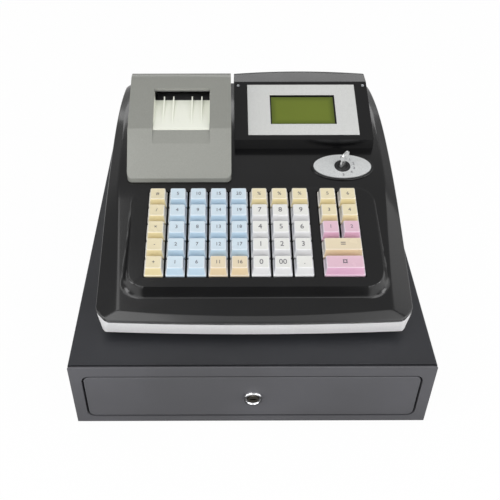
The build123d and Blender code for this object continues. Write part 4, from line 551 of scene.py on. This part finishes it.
def moulding(name, across, along, front, rear, height, foot, edge, wall, holes=(), bends=(20.0, 14.0)):
    """A thin shell over a plan. The plan's grid lines, across and along, bend near its front and rear to follow them;
    height gives the top; a rounded rim of size edge leads to a skirt down to the foot; wall is its thickness."""
    front_y, rear_y = front(across), rear(across)
    first, last = along[0], along[-1]
    near = np.clip((along - first) / bends[0], 0, 1)[:, None]
    far = np.clip((last - along) / bends[1], 0, 1)[:, None]
    x = np.tile(across, (len(along), 1))
    y = along[:, None] + (1 - near) * (front_y - first) + (1 - far) * (rear_y - last)
    z = height(x, y)
    rows, columns = x.shape
    index = np.arange(rows * columns).reshape(rows, columns)
    cells = quads(index)
    middle_x = x.ravel()[cells].mean(axis=1)
    middle_y = y.ravel()[cells].mean(axis=1)
    kept = np.ones(len(cells), bool)
    for x0, x1, y0, y1 in holes:
        kept &= ~((middle_x > x0) & (middle_x < x1) & (middle_y > y0) & (middle_y < y1))
    rim = np.concatenate([index[0, :-1], index[:-1, -1], index[-1, :0:-1], index[:0:-1, 0]])
    rim_x, rim_y, rim_z = x.ravel()[rim], y.ravel()[rim], z.ravel()[rim]
    along_x = np.roll(rim_x, -1) - np.roll(rim_x, 1)
    along_y = np.roll(rim_y, -1) - np.roll(rim_y, 1)
    size = np.hypot(along_x, along_y)
    out_x, out_y = along_y / size, -along_x / size
    reach = 0.05
    fall = (height(rim_x - out_x * reach, rim_y - out_y * reach)
            - height(rim_x + out_x * reach, rim_y + out_y * reach)) / (2 * reach)
    lean = np.arctan(np.clip(fall, -1.2, 4.0))
    radius = edge / (1 - np.sin(lean))
    points = [np.stack([x, y, z], axis=-1).reshape(-1, 3)]
    for share in np.linspace(0.2, 1.0, 5):
        turn = lean + share * (np.pi / 2 - lean)
        shift = radius * (np.sin(turn) - np.sin(lean))
        drop = radius * (np.cos(lean) - np.cos(turn))
        points.append(np.stack([rim_x + out_x * shift, rim_y + out_y * shift, rim_z - drop], axis=-1))
    base = points[-1].copy()
    base[:, 2] = np.minimum(foot(base[:, 0], base[:, 1]), base[:, 2] - 0.05)
    points.append(base)
    loops = [rim] + [rows * columns + step * len(rim) + np.arange(len(rim)) for step in range(len(points) - 1)]
    faces = [cells[kept]]
    for upper, lower in zip(loops[:-1], loops[1:]):
        faces.append(np.stack([upper, lower, np.roll(lower, -1), np.roll(upper, -1)], axis=-1))
    faces = np.vstack(faces)
    points = np.vstack(points)
    used, faces = np.unique(faces, return_inverse=True)
    faces = faces.reshape(-1, 4)
    mesh = bpy.data.meshes.new(name)
    mesh.from_pydata(placed(points[used]).tolist(), [], faces.tolist())
    sheet = bpy.data.objects.new(name + "_sheet", mesh)
    bpy.context.scene.collection.objects.link(sheet)
    solid = sheet.modifiers.new("wall", "SOLIDIFY")
    solid.thickness = wall * MILLIMETRE
    solid.offset = -1.0
    shell = bpy.data.meshes.new_from_object(sheet.evaluated_get(bpy.context.evaluated_depsgraph_get()))
    shell.name = name
    bpy.data.objects.remove(sheet)
    bpy.data.meshes.remove(mesh)
    return shell


KEY_PITCH_X, KEY_PITCH_Y, KEY_BASE = 19.75, 19.6, 17.6
KEY_ROWS, KEY_COLUMNS = 5, 8
FIRST_KEY_X = -92.2
BLOCK_GAP = 7.45
BLOCK_X = FIRST_KEY_X + KEY_COLUMNS * KEY_PITCH_X + BLOCK_GAP
WINDOW_CLEARANCE = 1.0
WINDOW_REACH = KEY_BASE / 2 + WINDOW_CLEARANCE
WINDOW_FRONT = BOARD_Y - WINDOW_REACH * math.cos(BOARD_TILT)
WINDOW_BACK = BOARD_Y + ((KEY_ROWS - 1) * KEY_PITCH_Y + WINDOW_REACH) * math.cos(BOARD_TILT)
MAIN_WINDOW = (FIRST_KEY_X - WINDOW_REACH, FIRST_KEY_X + (KEY_COLUMNS - 1) * KEY_PITCH_X + WINDOW_REACH)
SIDE_WINDOW = (BLOCK_X - WINDOW_REACH, BLOCK_X + KEY_PITCH_X + WINDOW_REACH)
COVER_LEFT, COVER_RIGHT = -124.3, -20.3
COVER_FRONT = 164.6
WELL_REAR, WELL_LIP = 301.5, 3.5
WELL = (COVER_LEFT + WELL_LIP, COVER_RIGHT - WELL_LIP, COVER_FRONT + WELL_LIP, WELL_REAR)

half_x = BODY_HALF - SHELL_EDGE
outline = inset(front_outline(), SHELL_EDGE)
corner_x = BODY_HALF - REAR_RADIUS


def shell_front(x):
    """The front edge of the shell's top, behind the drawer's front."""
    return np.interp(np.abs(x), outline[:, 0], outline[:, 1])


def shell_rear(x):
    """The rear edge of the shell's top, with its rounded corners."""
    over = np.clip(np.abs(x) - corner_x, 0, REAR_RADIUS - SHELL_EDGE)
    radius = REAR_RADIUS - SHELL_EDGE
    return BODY_REAR - REAR_RADIUS + np.sqrt(np.maximum(radius ** 2 - over ** 2, 0))


SIDE_GRID = 14.0
side_lines = half_x - SIDE_GRID * (1 - np.sin(np.linspace(0, np.pi / 2, 20)))
middle_lines = spread([
    (-128.6, 1.1), (-116.0, 0.6), (-98.0, 2.6), (MAIN_WINDOW[0], 3.0), (WELL[1], 3.0), (MAIN_WINDOW[1], 2.4),
    (SIDE_WINDOW[0], 3.0), (SIDE_WINDOW[1], 0.6), (123.0, 1.1), (129.0, 1.1),
])
across = np.concatenate([-side_lines[::-1], middle_lines, side_lines])
across = np.unique(np.round(np.append(across, [WELL[0]]), 3))
along = spread([
    (BODY_FRONT + SHELL_EDGE, 0.5), (44.0, 0.4), (53.0, 0.9), (WINDOW_FRONT, 2.2), (150.0, 1.1), (WINDOW_BACK, 1.0),
    (WELL[2], 3.0), (WELL[3], 3.0), (BODY_REAR - 16.0, 1.4), (BODY_REAR - SHELL_EDGE, 1.4),
])
shell_holes = [(*MAIN_WINDOW, WINDOW_FRONT, WINDOW_BACK), (*SIDE_WINDOW, WINDOW_FRONT, WINDOW_BACK), WELL]
shell_mesh = moulding(
    "top_shell", across, along, shell_front, shell_rear, shell_height, lambda x, y: np.full_like(x, BAND_TOP),
    SHELL_EDGE, SHELL_WALL, shell_holes)


def glossy(name, tone, rough, coat):
    """Polished mould plastic: an even colour, a gloss that wanders a little, and the faintest waviness."""
    material, shade = new_material(name)
    place = shade.node("TexCoord", out=3)
    wander = shade.node("TexNoise", {}, {"Vector": place, "Scale": 26.0, "Detail": 3.0}).step(0.25, 0.8)
    wave = shade.node("TexNoise", {}, {"Vector": place, "Scale": 120.0, "Detail": 2.0})
    lighter = tuple(level * 1.25 for level in tone[:3]) + (1.0,)
    bump = shade.node("Bump", {}, {"Strength": 0.05, "Distance": 0.0001, "Height": wave})
    surface_of(shade, shade.node("BsdfPrincipled", {}, {
        "Base Color": wander.mix(tone, lighter), "Roughness": wander * 0.05 + rough, "Normal": bump,
        "Coat Weight": coat, "Coat Roughness": 0.08,
    }))
    return material


shell_plastic = glossy("black_gloss_plastic", colour(9, 9, 10), 0.2, 0.3)
piece("shell", shell_mesh, shell_plastic, "housing", ["top_shell"], 35.0)
dress(moulded("key_plate_plastic", colour(26, 26, 27), 0.5), "key_plate")

OVAL_CENTRE = (92.5, 184.7)
OVAL_TILT = math.radians(11.4)
OVAL_HALF = (29.7, 16.3)
OVAL_RIM = 2.1


def on_oval(across, up, high):
    """Places across, up and above the mode lock's plate, which tilts with the deck, as points of the frame."""
    y = OVAL_CENTRE[1] + up * math.cos(OVAL_TILT) - high * math.sin(OVAL_TILT)
    z = deck_height(OVAL_CENTRE[1]) + up * math.sin(OVAL_TILT) + high * math.cos(OVAL_TILT)
    return placed(np.stack([OVAL_CENTRE[0] + across, y, z], axis=-1))


def oval_ring(profile, steps=120):
    """A closed profile of (share of the rim, height) carried round the mode lock's oval."""
    turn = np.linspace(0, 2 * np.pi, steps, endpoint=False)
    share, high = np.array(profile).T
    across = np.cos(turn) * (OVAL_HALF[0] + share[:, None] * OVAL_RIM)
    up = np.sin(turn) * (OVAL_HALF[1] + share[:, None] * OVAL_RIM)
    return on_oval(across, up, high[:, None] + 0 * turn)


bezel = [(0.0, -1.6), (0.0, 0.9), (0.12, 1.12), (0.3, 1.2), (0.7, 1.2), (0.9, 1.05), (1.0, 0.7), (1.0, -1.6)]
piece("oval_bezel", skin("oval_bezel", oval_ring(bezel[::-1]), wrap_rows=True, wrap_columns=True), shell_plastic,
      "housing", ["top_shell"], 60.0)

HINGE_Y, HINGE_Z, HINGE_RADIUS = 306.0, 98.9, 2.6
HINGE_HALF_SPAN, HINGE_HALF_LENGTH, HINGE_CHAMFER, HINGE_ROOT = 46.0, 4.6, 0.4, 1.0
COVER_MIDDLE = (COVER_LEFT + COVER_RIGHT) / 2


def hinge_post(x, foot):
    """A post with a round head on the hinge's axis: the head's outline, drawn in a little at both ends."""
    head = np.radians(np.linspace(0, 180, 21))
    flat = HINGE_HALF_LENGTH - HINGE_CHAMFER
    ends = []
    for place, shrink in ((-HINGE_HALF_LENGTH, HINGE_CHAMFER), (-flat, 0.0), (flat, 0.0),
                          (HINGE_HALF_LENGTH, HINGE_CHAMFER)):
        radius = HINGE_RADIUS - shrink
        y = np.concatenate([HINGE_Y + radius * np.cos(head), [HINGE_Y - radius, HINGE_Y + radius]])
        z = np.concatenate([HINGE_Z + radius * np.sin(head), [foot, foot]])
        ends.append(np.stack([np.full_like(y, x + place), y, z], axis=-1))
    return placed(np.array(ends))


for number, x in enumerate((COVER_MIDDLE - HINGE_HALF_SPAN, COVER_MIDDLE + HINGE_HALF_SPAN), start=1):
    name = "hinge_post_%d" % number
    post = skin(name, hinge_post(x, deck_height(HINGE_Y) - HINGE_ROOT), wrap_columns=True, caps=True)
    piece(name, post, shell_plastic, "housing", ["top_shell"], 50.0)


# ---- register: printer cover and what it lets see -----------------------------------------------------------
# A hinged cover in warm silver paint, its edges rounded by the mould. Under its mouth lie the ribbed paper guide,
# the toothed tear bar, the platen with its gears, and the paper roll in the printer's chassis.
def soften(name, width, steps=3, angle=32.0):
    """Rounds a CAD node's sharp edges by a width in millimetres, and shades its flat faces flat."""
    made = nodes[name]
    weld = made.modifiers.new("weld", "WELD")
    weld.merge_threshold = 0.00001
    bevel = made.modifiers.new("rounding", "BEVEL")
    bevel.width = width * MILLIMETRE
    bevel.segments = steps
    bevel.limit_method = "ANGLE"
    bevel.angle_limit = math.radians(angle)
    bevel.use_clamp_overlap = True
    bevel.harden_normals = True


cover_paint = metallic_paint("cover_silver_paint", colour(139, 140, 134), 0.34)
dress(cover_paint, "printer_cover")
soften("printer_cover", 1.4)
guide_plastic = moulded("guide_plastic", colour(240, 242, 230), 0.3)
dress(guide_plastic, "paper_guide")
dress(plated("stamped_steel", colour(205, 205, 206), 0.22, (0.06, 1.0, 1.0)), "tear_bar")
dress(moulded("chassis_plastic", colour(66, 66, 70), 0.5), "printer_frame")
dress(moulded("platen_rubber", colour(46, 46, 47), 0.7), "platen_roller")
dress(moulded("gear_acetal", colour(232, 231, 222), 0.35), "platen_gear")
dress(plated("gear_brass", colour(205, 170, 92), 0.22), "motor_pinion")
dress(plated("motor_can", colour(176, 177, 180), 0.3, (0.06, 1.0, 1.0)), "feed_motor")
dress(moulded("thermal_paper", colour(236, 236, 231), 0.85, 300.0), "paper_roll")


# ---- register: display --------------------------------------------------------------------------------------
# A glossy black hood with a silver printed plate in its sloping panel, an olive liquid-crystal window in the plate,
# and a smoked window for the customer in its bowed back.
HOOD_TILT = math.radians(18.3)
SCREW_X = (-12.3, 122.8)
PANEL_FOOT = (211.5, 105.0)
SCREW_UP_PANEL = 74.4

hood_plastic = glossy("hood_plastic", colour(7, 7, 8), 0.2, 0.1)
dress(hood_plastic, "display_hood")
soften("display_hood", 1.0)
dress(metallic_paint("fascia_silver", colour(208, 209, 207), 0.32), "display_fascia")
soften("display_fascia", 0.35, 2)


def display_glass():
    """The liquid-crystal glass: olive, with painted shade darkening it towards its edge, inside the black rim of its
    seal.
    """
    low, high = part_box("lcd_panel")
    hidden, seal, depth = 0.0028, 0.0014, 0.005
    first_y = low.y + hidden * math.cos(HOOD_TILT)
    last_y = high.y - hidden * math.cos(HOOD_TILT) - depth * math.sin(HOOD_TILT)
    material, shade = new_material("lcd_glass")
    place = shade.node("TexCoord", out=3)
    over_x = abs(place.part(0) - (low.x + high.x) / 2) - ((high.x - low.x) / 2 - hidden - seal)
    over_y = abs(place.part(1) - (first_y + last_y) / 2) - ((last_y - first_y) / 2 - seal)
    over = over_x.math("MAXIMUM", over_x, over_y)
    cloud = shade.node("TexNoise", {}, {"Vector": place, "Scale": 40.0, "Detail": 2.0})
    # Painted shade: the olive darkens over the last 7 mm towards the glass's edge.
    olive = (over.step(-0.007, 0.0) * 0.8 + cloud * 0.2).mix(colour(103, 116, 40), colour(82, 95, 31))
    sealed = over.step(-0.0002, 0.0002).mix(olive, colour(20, 20, 19))
    surface_of(shade, shade.node("BsdfPrincipled", {}, {
        "Base Color": sealed, "Roughness": cloud * 0.04 + 0.10, "Specular IOR Level": 0.4,
    }))
    return material


dress(display_glass(), "lcd_panel")
dress(moulded("smoked_plastic", colour(28, 26, 30), 0.08, 900.0, 0.00001), "customer_window")

screw_head = [
    (0.05, -1.5), (1.0, -1.5), (1.0, -0.1), (1.5, 0.0), (1.5, 0.25), (1.2, 0.5), (0.5, 0.62), (0.5, 0.3), (0.05, 0.3),
]
screw_y = PANEL_FOOT[0] + SCREW_UP_PANEL * math.cos(HOOD_TILT)
screw_z = PANEL_FOOT[1] + SCREW_UP_PANEL * math.sin(HOOD_TILT)
for number, x in enumerate(SCREW_X, start=1):
    seat = placed([x, screw_y, screw_z])
    screw = turned(screw_head, seat, (0, -math.sin(HOOD_TILT), math.cos(HOOD_TILT)), (1, 0, 0), 24)
    piece("hood_screw_%d" % number, skin("hood_screw", screw, wrap_columns=True, caps=True), zinc, "housing")


# ---- register: mode lock ------------------------------------------------------------------------------------
# A silver oval plate with a black lock in its middle and a nickel plated key standing in it.
dress(metallic_paint("oval_silver", colour(203, 205, 205), 0.3), "mode_escutcheon")
soften("mode_escutcheon", 0.4, 2)
dress(moulded("lock_plastic", colour(30, 30, 32), 0.35), "mode_lock")
soften("mode_lock", 0.3, 2)


def key_metal():
    """Nickel plate on the key and its shaft; the core's own face, down at the plate, is black."""
    middle_y, middle_z = placed([0.0, OVAL_CENTRE[1], deck_height(OVAL_CENTRE[1])])[1:]
    material, shade = new_material("mode_key_metal")
    place = shade.node("TexCoord", out=3)
    above = (place.part(2) - middle_z) * math.cos(OVAL_TILT) - (place.part(1) - middle_y) * math.sin(OVAL_TILT)
    bright = above.step(0.0023, 0.0026)
    drawn = shade.node("TexNoise", {}, {"Vector": place, "Scale": 900.0, "Detail": 3.0})
    surface_of(shade, shade.node("BsdfPrincipled", {}, {
        "Base Color": bright.mix(colour(24, 24, 25), colour(226, 226, 226)), "Metallic": bright * 0.85,
        "Roughness": drawn * 0.1 + 0.18,
    }))
    return material


dress(key_metal(), "mode_key")
soften("mode_key", 0.35, 2)


# ---- register: keys -----------------------------------------------------------------------------------------
# Clear tapered caps over coloured inserts. Each is rounded rectangles stacked from its skirt to a dished top.
# A row of a cap's table is (half width, half length, corner radius, shift up, height, insert share, rim share).
KEY_TOP_HALF = (7.2, 6.5)
KEY_TOP_SHIFT = 1.6
KEY_HEIGHT = 8.6
KEY_SKIRT = 1.5
KEY_DISH = 0.35
KEY_CORNER = 0.9


def rounded_ring(half_x, half_y, radius, shift, height):
    """A rounded rectangle, counter-clockwise, as points (across, up the plane, height), with each point's angle."""
    turn = np.radians(np.concatenate([np.linspace(start, start + 90, 6) for start in (0, 90, 180, 270)]))
    corner = np.repeat([[1, 1], [-1, 1], [-1, -1], [1, -1]], 6, axis=0)
    x = corner[:, 0] * (half_x - radius) + radius * np.cos(turn)
    y = corner[:, 1] * (half_y - radius) + radius * np.sin(turn) + shift
    return np.stack([x, y, np.full_like(x, height)], axis=-1), np.cos(turn) ** 2


def cap_grid(x, row, units):
    """One cap: its rings of points in the frame, and (insert, side, rim) shares at each point for its material."""
    extra = (units - 1) * KEY_PITCH_X / 2
    half = KEY_BASE / 2
    rows = [
        (half, half, KEY_CORNER, 0.0, -KEY_SKIRT, 0, 0), (half, half, KEY_CORNER, 0.0, KEY_SKIRT - 0.3, 0, 1),
        (half - 0.2, half - 0.2, KEY_CORNER, 0.0, KEY_SKIRT, 0, 1),
        (half - 0.55, half - 0.55, KEY_CORNER, 0.02, KEY_SKIRT + 0.05, 0, 0),
    ]
    top_x, top_y = KEY_TOP_HALF
    for share in (0.0, 0.3, 0.6, 0.9, 1.0):
        height = KEY_SKIRT + 0.3 + share * (KEY_HEIGHT - 0.6 - KEY_SKIRT - 0.3)
        rise = (height - KEY_SKIRT) / (KEY_HEIGHT - KEY_SKIRT)
        foot = half - 0.6
        rows.append((foot + rise * (top_x - foot), foot + rise * (top_y - foot), KEY_CORNER + 0.3 * rise,
                     KEY_TOP_SHIFT * rise, height, 0, 0))
    rows.append((top_x - 0.15, top_y - 0.15, 1.2, KEY_TOP_SHIFT, KEY_HEIGHT - 0.22, 0, 1))
    rows.append((top_x - 0.45, top_y - 0.45, 1.1, KEY_TOP_SHIFT, KEY_HEIGHT - 0.03, 1, 1))
    for share in (0.88, 0.6, 0.3, 0.04):
        rows.append((top_x * share, top_y * share, 1.0 * share, KEY_TOP_SHIFT,
                     KEY_HEIGHT - KEY_DISH * (1 - share ** 2), 1, 0))
    rings, shares = [], []
    for half_x, half_y, radius, shift, height, insert, rim in rows:
        ring, side = rounded_ring(half_x + extra, half_y, radius, shift, height)
        rings.append(ring)
        shares.append(np.stack([np.full_like(side, insert), side, np.full_like(side, rim)], axis=-1))
    local = np.array(rings)
    local[..., 0] += x + extra
    local[..., 1] += row * KEY_PITCH_Y
    return on_board(local), np.array(shares)


def on_board(local):
    """Points across, up and above the keyboard's tilted plane, as points of the frame."""
    up, high = local[..., 1], local[..., 2]
    y = BOARD_Y + up * math.cos(BOARD_TILT) - high * math.sin(BOARD_TILT)
    z = BOARD_Z + up * math.sin(BOARD_TILT) + high * math.cos(BOARD_TILT)
    return placed(np.stack([local[..., 0], y, z], axis=-1))


def key_group(name, caps):
    """The caps of one key node as one mesh. caps lists (x, row, units, which material)."""
    points, faces, shares, chosen = [], [], [], []
    for x, row, units, which in caps:
        grid, share = cap_grid(x, row, units)
        rows, columns = grid.shape[:2]
        index = np.arange(rows * columns).reshape(rows, columns) + sum(len(block) for block in points)
        index = np.hstack([index, index[:, :1]])
        made = quads(index).tolist() + [index[0, :columns][::-1].tolist(), index[-1, :columns].tolist()]
        faces += made
        chosen += [which] * len(made)
        points.append(grid.reshape(-1, 3))
        shares.append(share.reshape(-1, 3))
    mesh = bpy.data.meshes.new(name)
    mesh.from_pydata(np.vstack(points).tolist(), [], faces)
    mesh.attributes.new("share", "FLOAT_VECTOR", "POINT").data.foreach_set("vector", np.vstack(shares).ravel())
    mesh.polygons.foreach_set("material_index", chosen)
    return mesh


def key_plastic(name, insert, slope):
    """A clear cap over a printed insert: the insert's colour on top, a darker colour on the front and back slopes as
    painted shade, paler grey left and right flanks as painted light, and painted highlights on the edges.
    """
    material, shade = new_material(name)
    share = shade.node("Attribute", {"attribute_name": "share"}, out=1)
    place = shade.node("TexCoord", out=3)
    cloud = shade.node("TexNoise", {}, {"Vector": place, "Scale": 60.0, "Detail": 2.0}).step(0.3, 0.75)
    # Painted shade and light: the front and back slopes take the darker slope colour, and the left and right flanks a
    # pale grey.
    flank = (share.part(1) * 0.7).mix(slope, colour(214, 216, 222))
    body = share.part(0).mix(flank, insert)
    # Painted highlight: the rims turn near white.
    lit = (share.part(2) * 0.35).mix(body, colour(240, 240, 242))
    dim = tuple(level * 0.93 for level in insert[:3]) + (1.0,)
    soft = (cloud * 0.12).mix(lit, dim)
    surface_of(shade, shade.node("BsdfPrincipled", {}, {
        "Base Color": soft, "Roughness": cloud * 0.06 + 0.22, "Coat Weight": 0.5, "Coat Roughness": 0.06,
    }))
    return material


# The second colour of each key is the painted shade of its sloping front and back.
CREAM = key_plastic("cream_key", colour(222, 211, 178), colour(217, 202, 156))
BLUE = key_plastic("blue_key", colour(201, 216, 226), colour(178, 200, 216))
WHITE = key_plastic("white_key", colour(221, 221, 217), colour(210, 210, 211))
PINK = key_plastic("pink_key", colour(216, 182, 196), colour(205, 160, 185))
ORANGE = key_plastic("orange_key", colour(220, 206, 178), colour(213, 191, 154))
key_columns = [FIRST_KEY_X + number * KEY_PITCH_X for number in range(KEY_COLUMNS)]
key_columns += [BLOCK_X, BLOCK_X + KEY_PITCH_X]
number_block = ["key_0", "key_00", "key_point"] + ["key_%d" % digit for digit in range(1, 10)]
key_nodes = {
    name: ([(key_columns[5 + number % 3], number // 3, 1, 0)], [WHITE], "cap_white")
    for number, name in enumerate(number_block)}
key_nodes["key_cash"] = ([(BLOCK_X, 0, 2, 0)], [PINK], "cap_pink")
key_nodes["key_total"] = ([(BLOCK_X, 1, 2, 0)], [ORANGE], "cap_orange")
key_nodes["keys_function"] = ([(key_columns[0], row, 1, 0) for row in range(KEY_ROWS)], [CREAM], "cap_cream")
key_nodes["keys_lookup"] = ([(key_columns[column], 4, 1, 0) for column in (5, 6, 7)], [CREAM], "cap_cream")
key_nodes["keys_payment"] = ([(key_columns[column], row, 1, row == 2) for row in (2, 3, 4) for column in (8, 9)],
                             [CREAM, PINK], "cap_mixed")
for column in (1, 2, 3, 4):
    caps = [(key_columns[column], row, 1, column > 2 and row == 0) for row in range(KEY_ROWS)]
    slot = "cap_blue_orange" if column > 2 else "cap_blue"
    key_nodes["keys_department_%d" % column] = (caps, [BLUE, ORANGE], slot)
for name, (caps, materials, slot) in key_nodes.items():
    piece(name + "_caps", key_group(name + "_caps", caps), materials, name, [name], 50.0)


# ---- register: the keys' numbers and signs ------------------------------------------------------------------
# Plain numbers and signs, printed on the inserts in dark grey: thin raised figures that ride with their keys. The
# mode lock's plate has the numbers 0 to 5, and nothing else is written anywhere.
FIGURE_DEPTH = 0.08
FIGURE_LIFT = 0.07
WIDE_FIGURE, DIGIT_FIGURE, SMALL_FIGURE = 9.5, 7.6, 5.4


def figure(text, size, x, up):
    """A number or sign as points across, up and above the keyboard's plane, and its faces, centred on a place."""
    curve = bpy.data.curves.new("figure", "FONT")
    curve.body, curve.size, curve.extrude = text, size, FIGURE_DEPTH
    curve.align_x, curve.align_y, curve.resolution_u = "CENTER", "CENTER", 3
    holder = bpy.data.objects.new("figure", curve)
    mesh = bpy.data.meshes.new_from_object(holder)
    flat = np.empty(3 * len(mesh.vertices))
    mesh.vertices.foreach_get("co", flat)
    points, merged = np.unique(flat.reshape(-1, 3).round(4), axis=0, return_inverse=True)
    merged = merged.ravel()
    faces = [merged[list(face.vertices)].tolist() for face in mesh.polygons]
    bpy.data.objects.remove(holder)
    bpy.data.curves.remove(curve)
    bpy.data.meshes.remove(mesh)
    return points + np.array([x, up, KEY_HEIGHT - KEY_DISH + FIGURE_LIFT]), faces


def figures(marks):
    """Several figures as one set of points and faces. marks lists (text, size, x, up the plane)."""
    points, faces, count = [], [], 0
    for mark in marks:
        figure_points, figure_faces = figure(*mark)
        faces += [[corner + count for corner in face] for face in figure_faces if len(set(face)) == len(face)]
        points.append(figure_points)
        count += len(figure_points)
    return np.vstack(points), faces


def print_figures(name, points, faces, body):
    """Figures as a piece of dark ink on a body."""
    mesh = bpy.data.meshes.new(name)
    mesh.from_pydata(points.tolist(), [], faces)
    piece(name, mesh, ink, body)


ink = moulded("grey_ink", colour(92, 90, 98), 0.6, 900.0, 0.00001)
signs = {
    "key_point": ".", "key_total": "=", "key_cash": "\u00a4", "keys_function": "+-\u00d7/#", "keys_lookup": "%%%",
    "keys_payment": "123456",
}
number = 0
for name, (caps, materials, slot) in key_nodes.items():
    if name[:4] == "key_" and name not in signs:
        texts = [name[4:]]
    elif name in signs:
        texts = list(signs[name])
    else:
        texts = [str(number + count) for count in range(1, len(caps) + 1)]
        number += len(caps)
    size = DIGIT_FIGURE if name[:4] == "key_" else SMALL_FIGURE
    if name in ("key_total", "key_cash"):
        size = WIDE_FIGURE
    marks = [(text, size, x + (units - 1) * KEY_PITCH_X / 2, row * KEY_PITCH_Y + KEY_TOP_SHIFT)
             for text, (x, row, units, which) in zip(texts, caps)]
    local, faces = figures(marks)
    print_figures(name + "_figures", on_board(local), faces, name)

DIAL_RADIUS = 12.0
DIAL_FACE = 1.7
DIAL_FIGURE_SIZE = 4.6
DIAL_ANGLES = (90, 45, 15, -15, -45, -90)

dial_marks = [(text, DIAL_FIGURE_SIZE, DIAL_RADIUS * math.cos(turn), DIAL_RADIUS * math.sin(turn))
              for text, turn in zip("012345", map(math.radians, DIAL_ANGLES))]
local, faces = figures(dial_marks)
local[:, 2] += DIAL_FACE - KEY_HEIGHT + KEY_DISH - FIGURE_LIFT + FIGURE_DEPTH / 2
print_figures("dial_figures", on_oval(*local.T), faces, "housing")
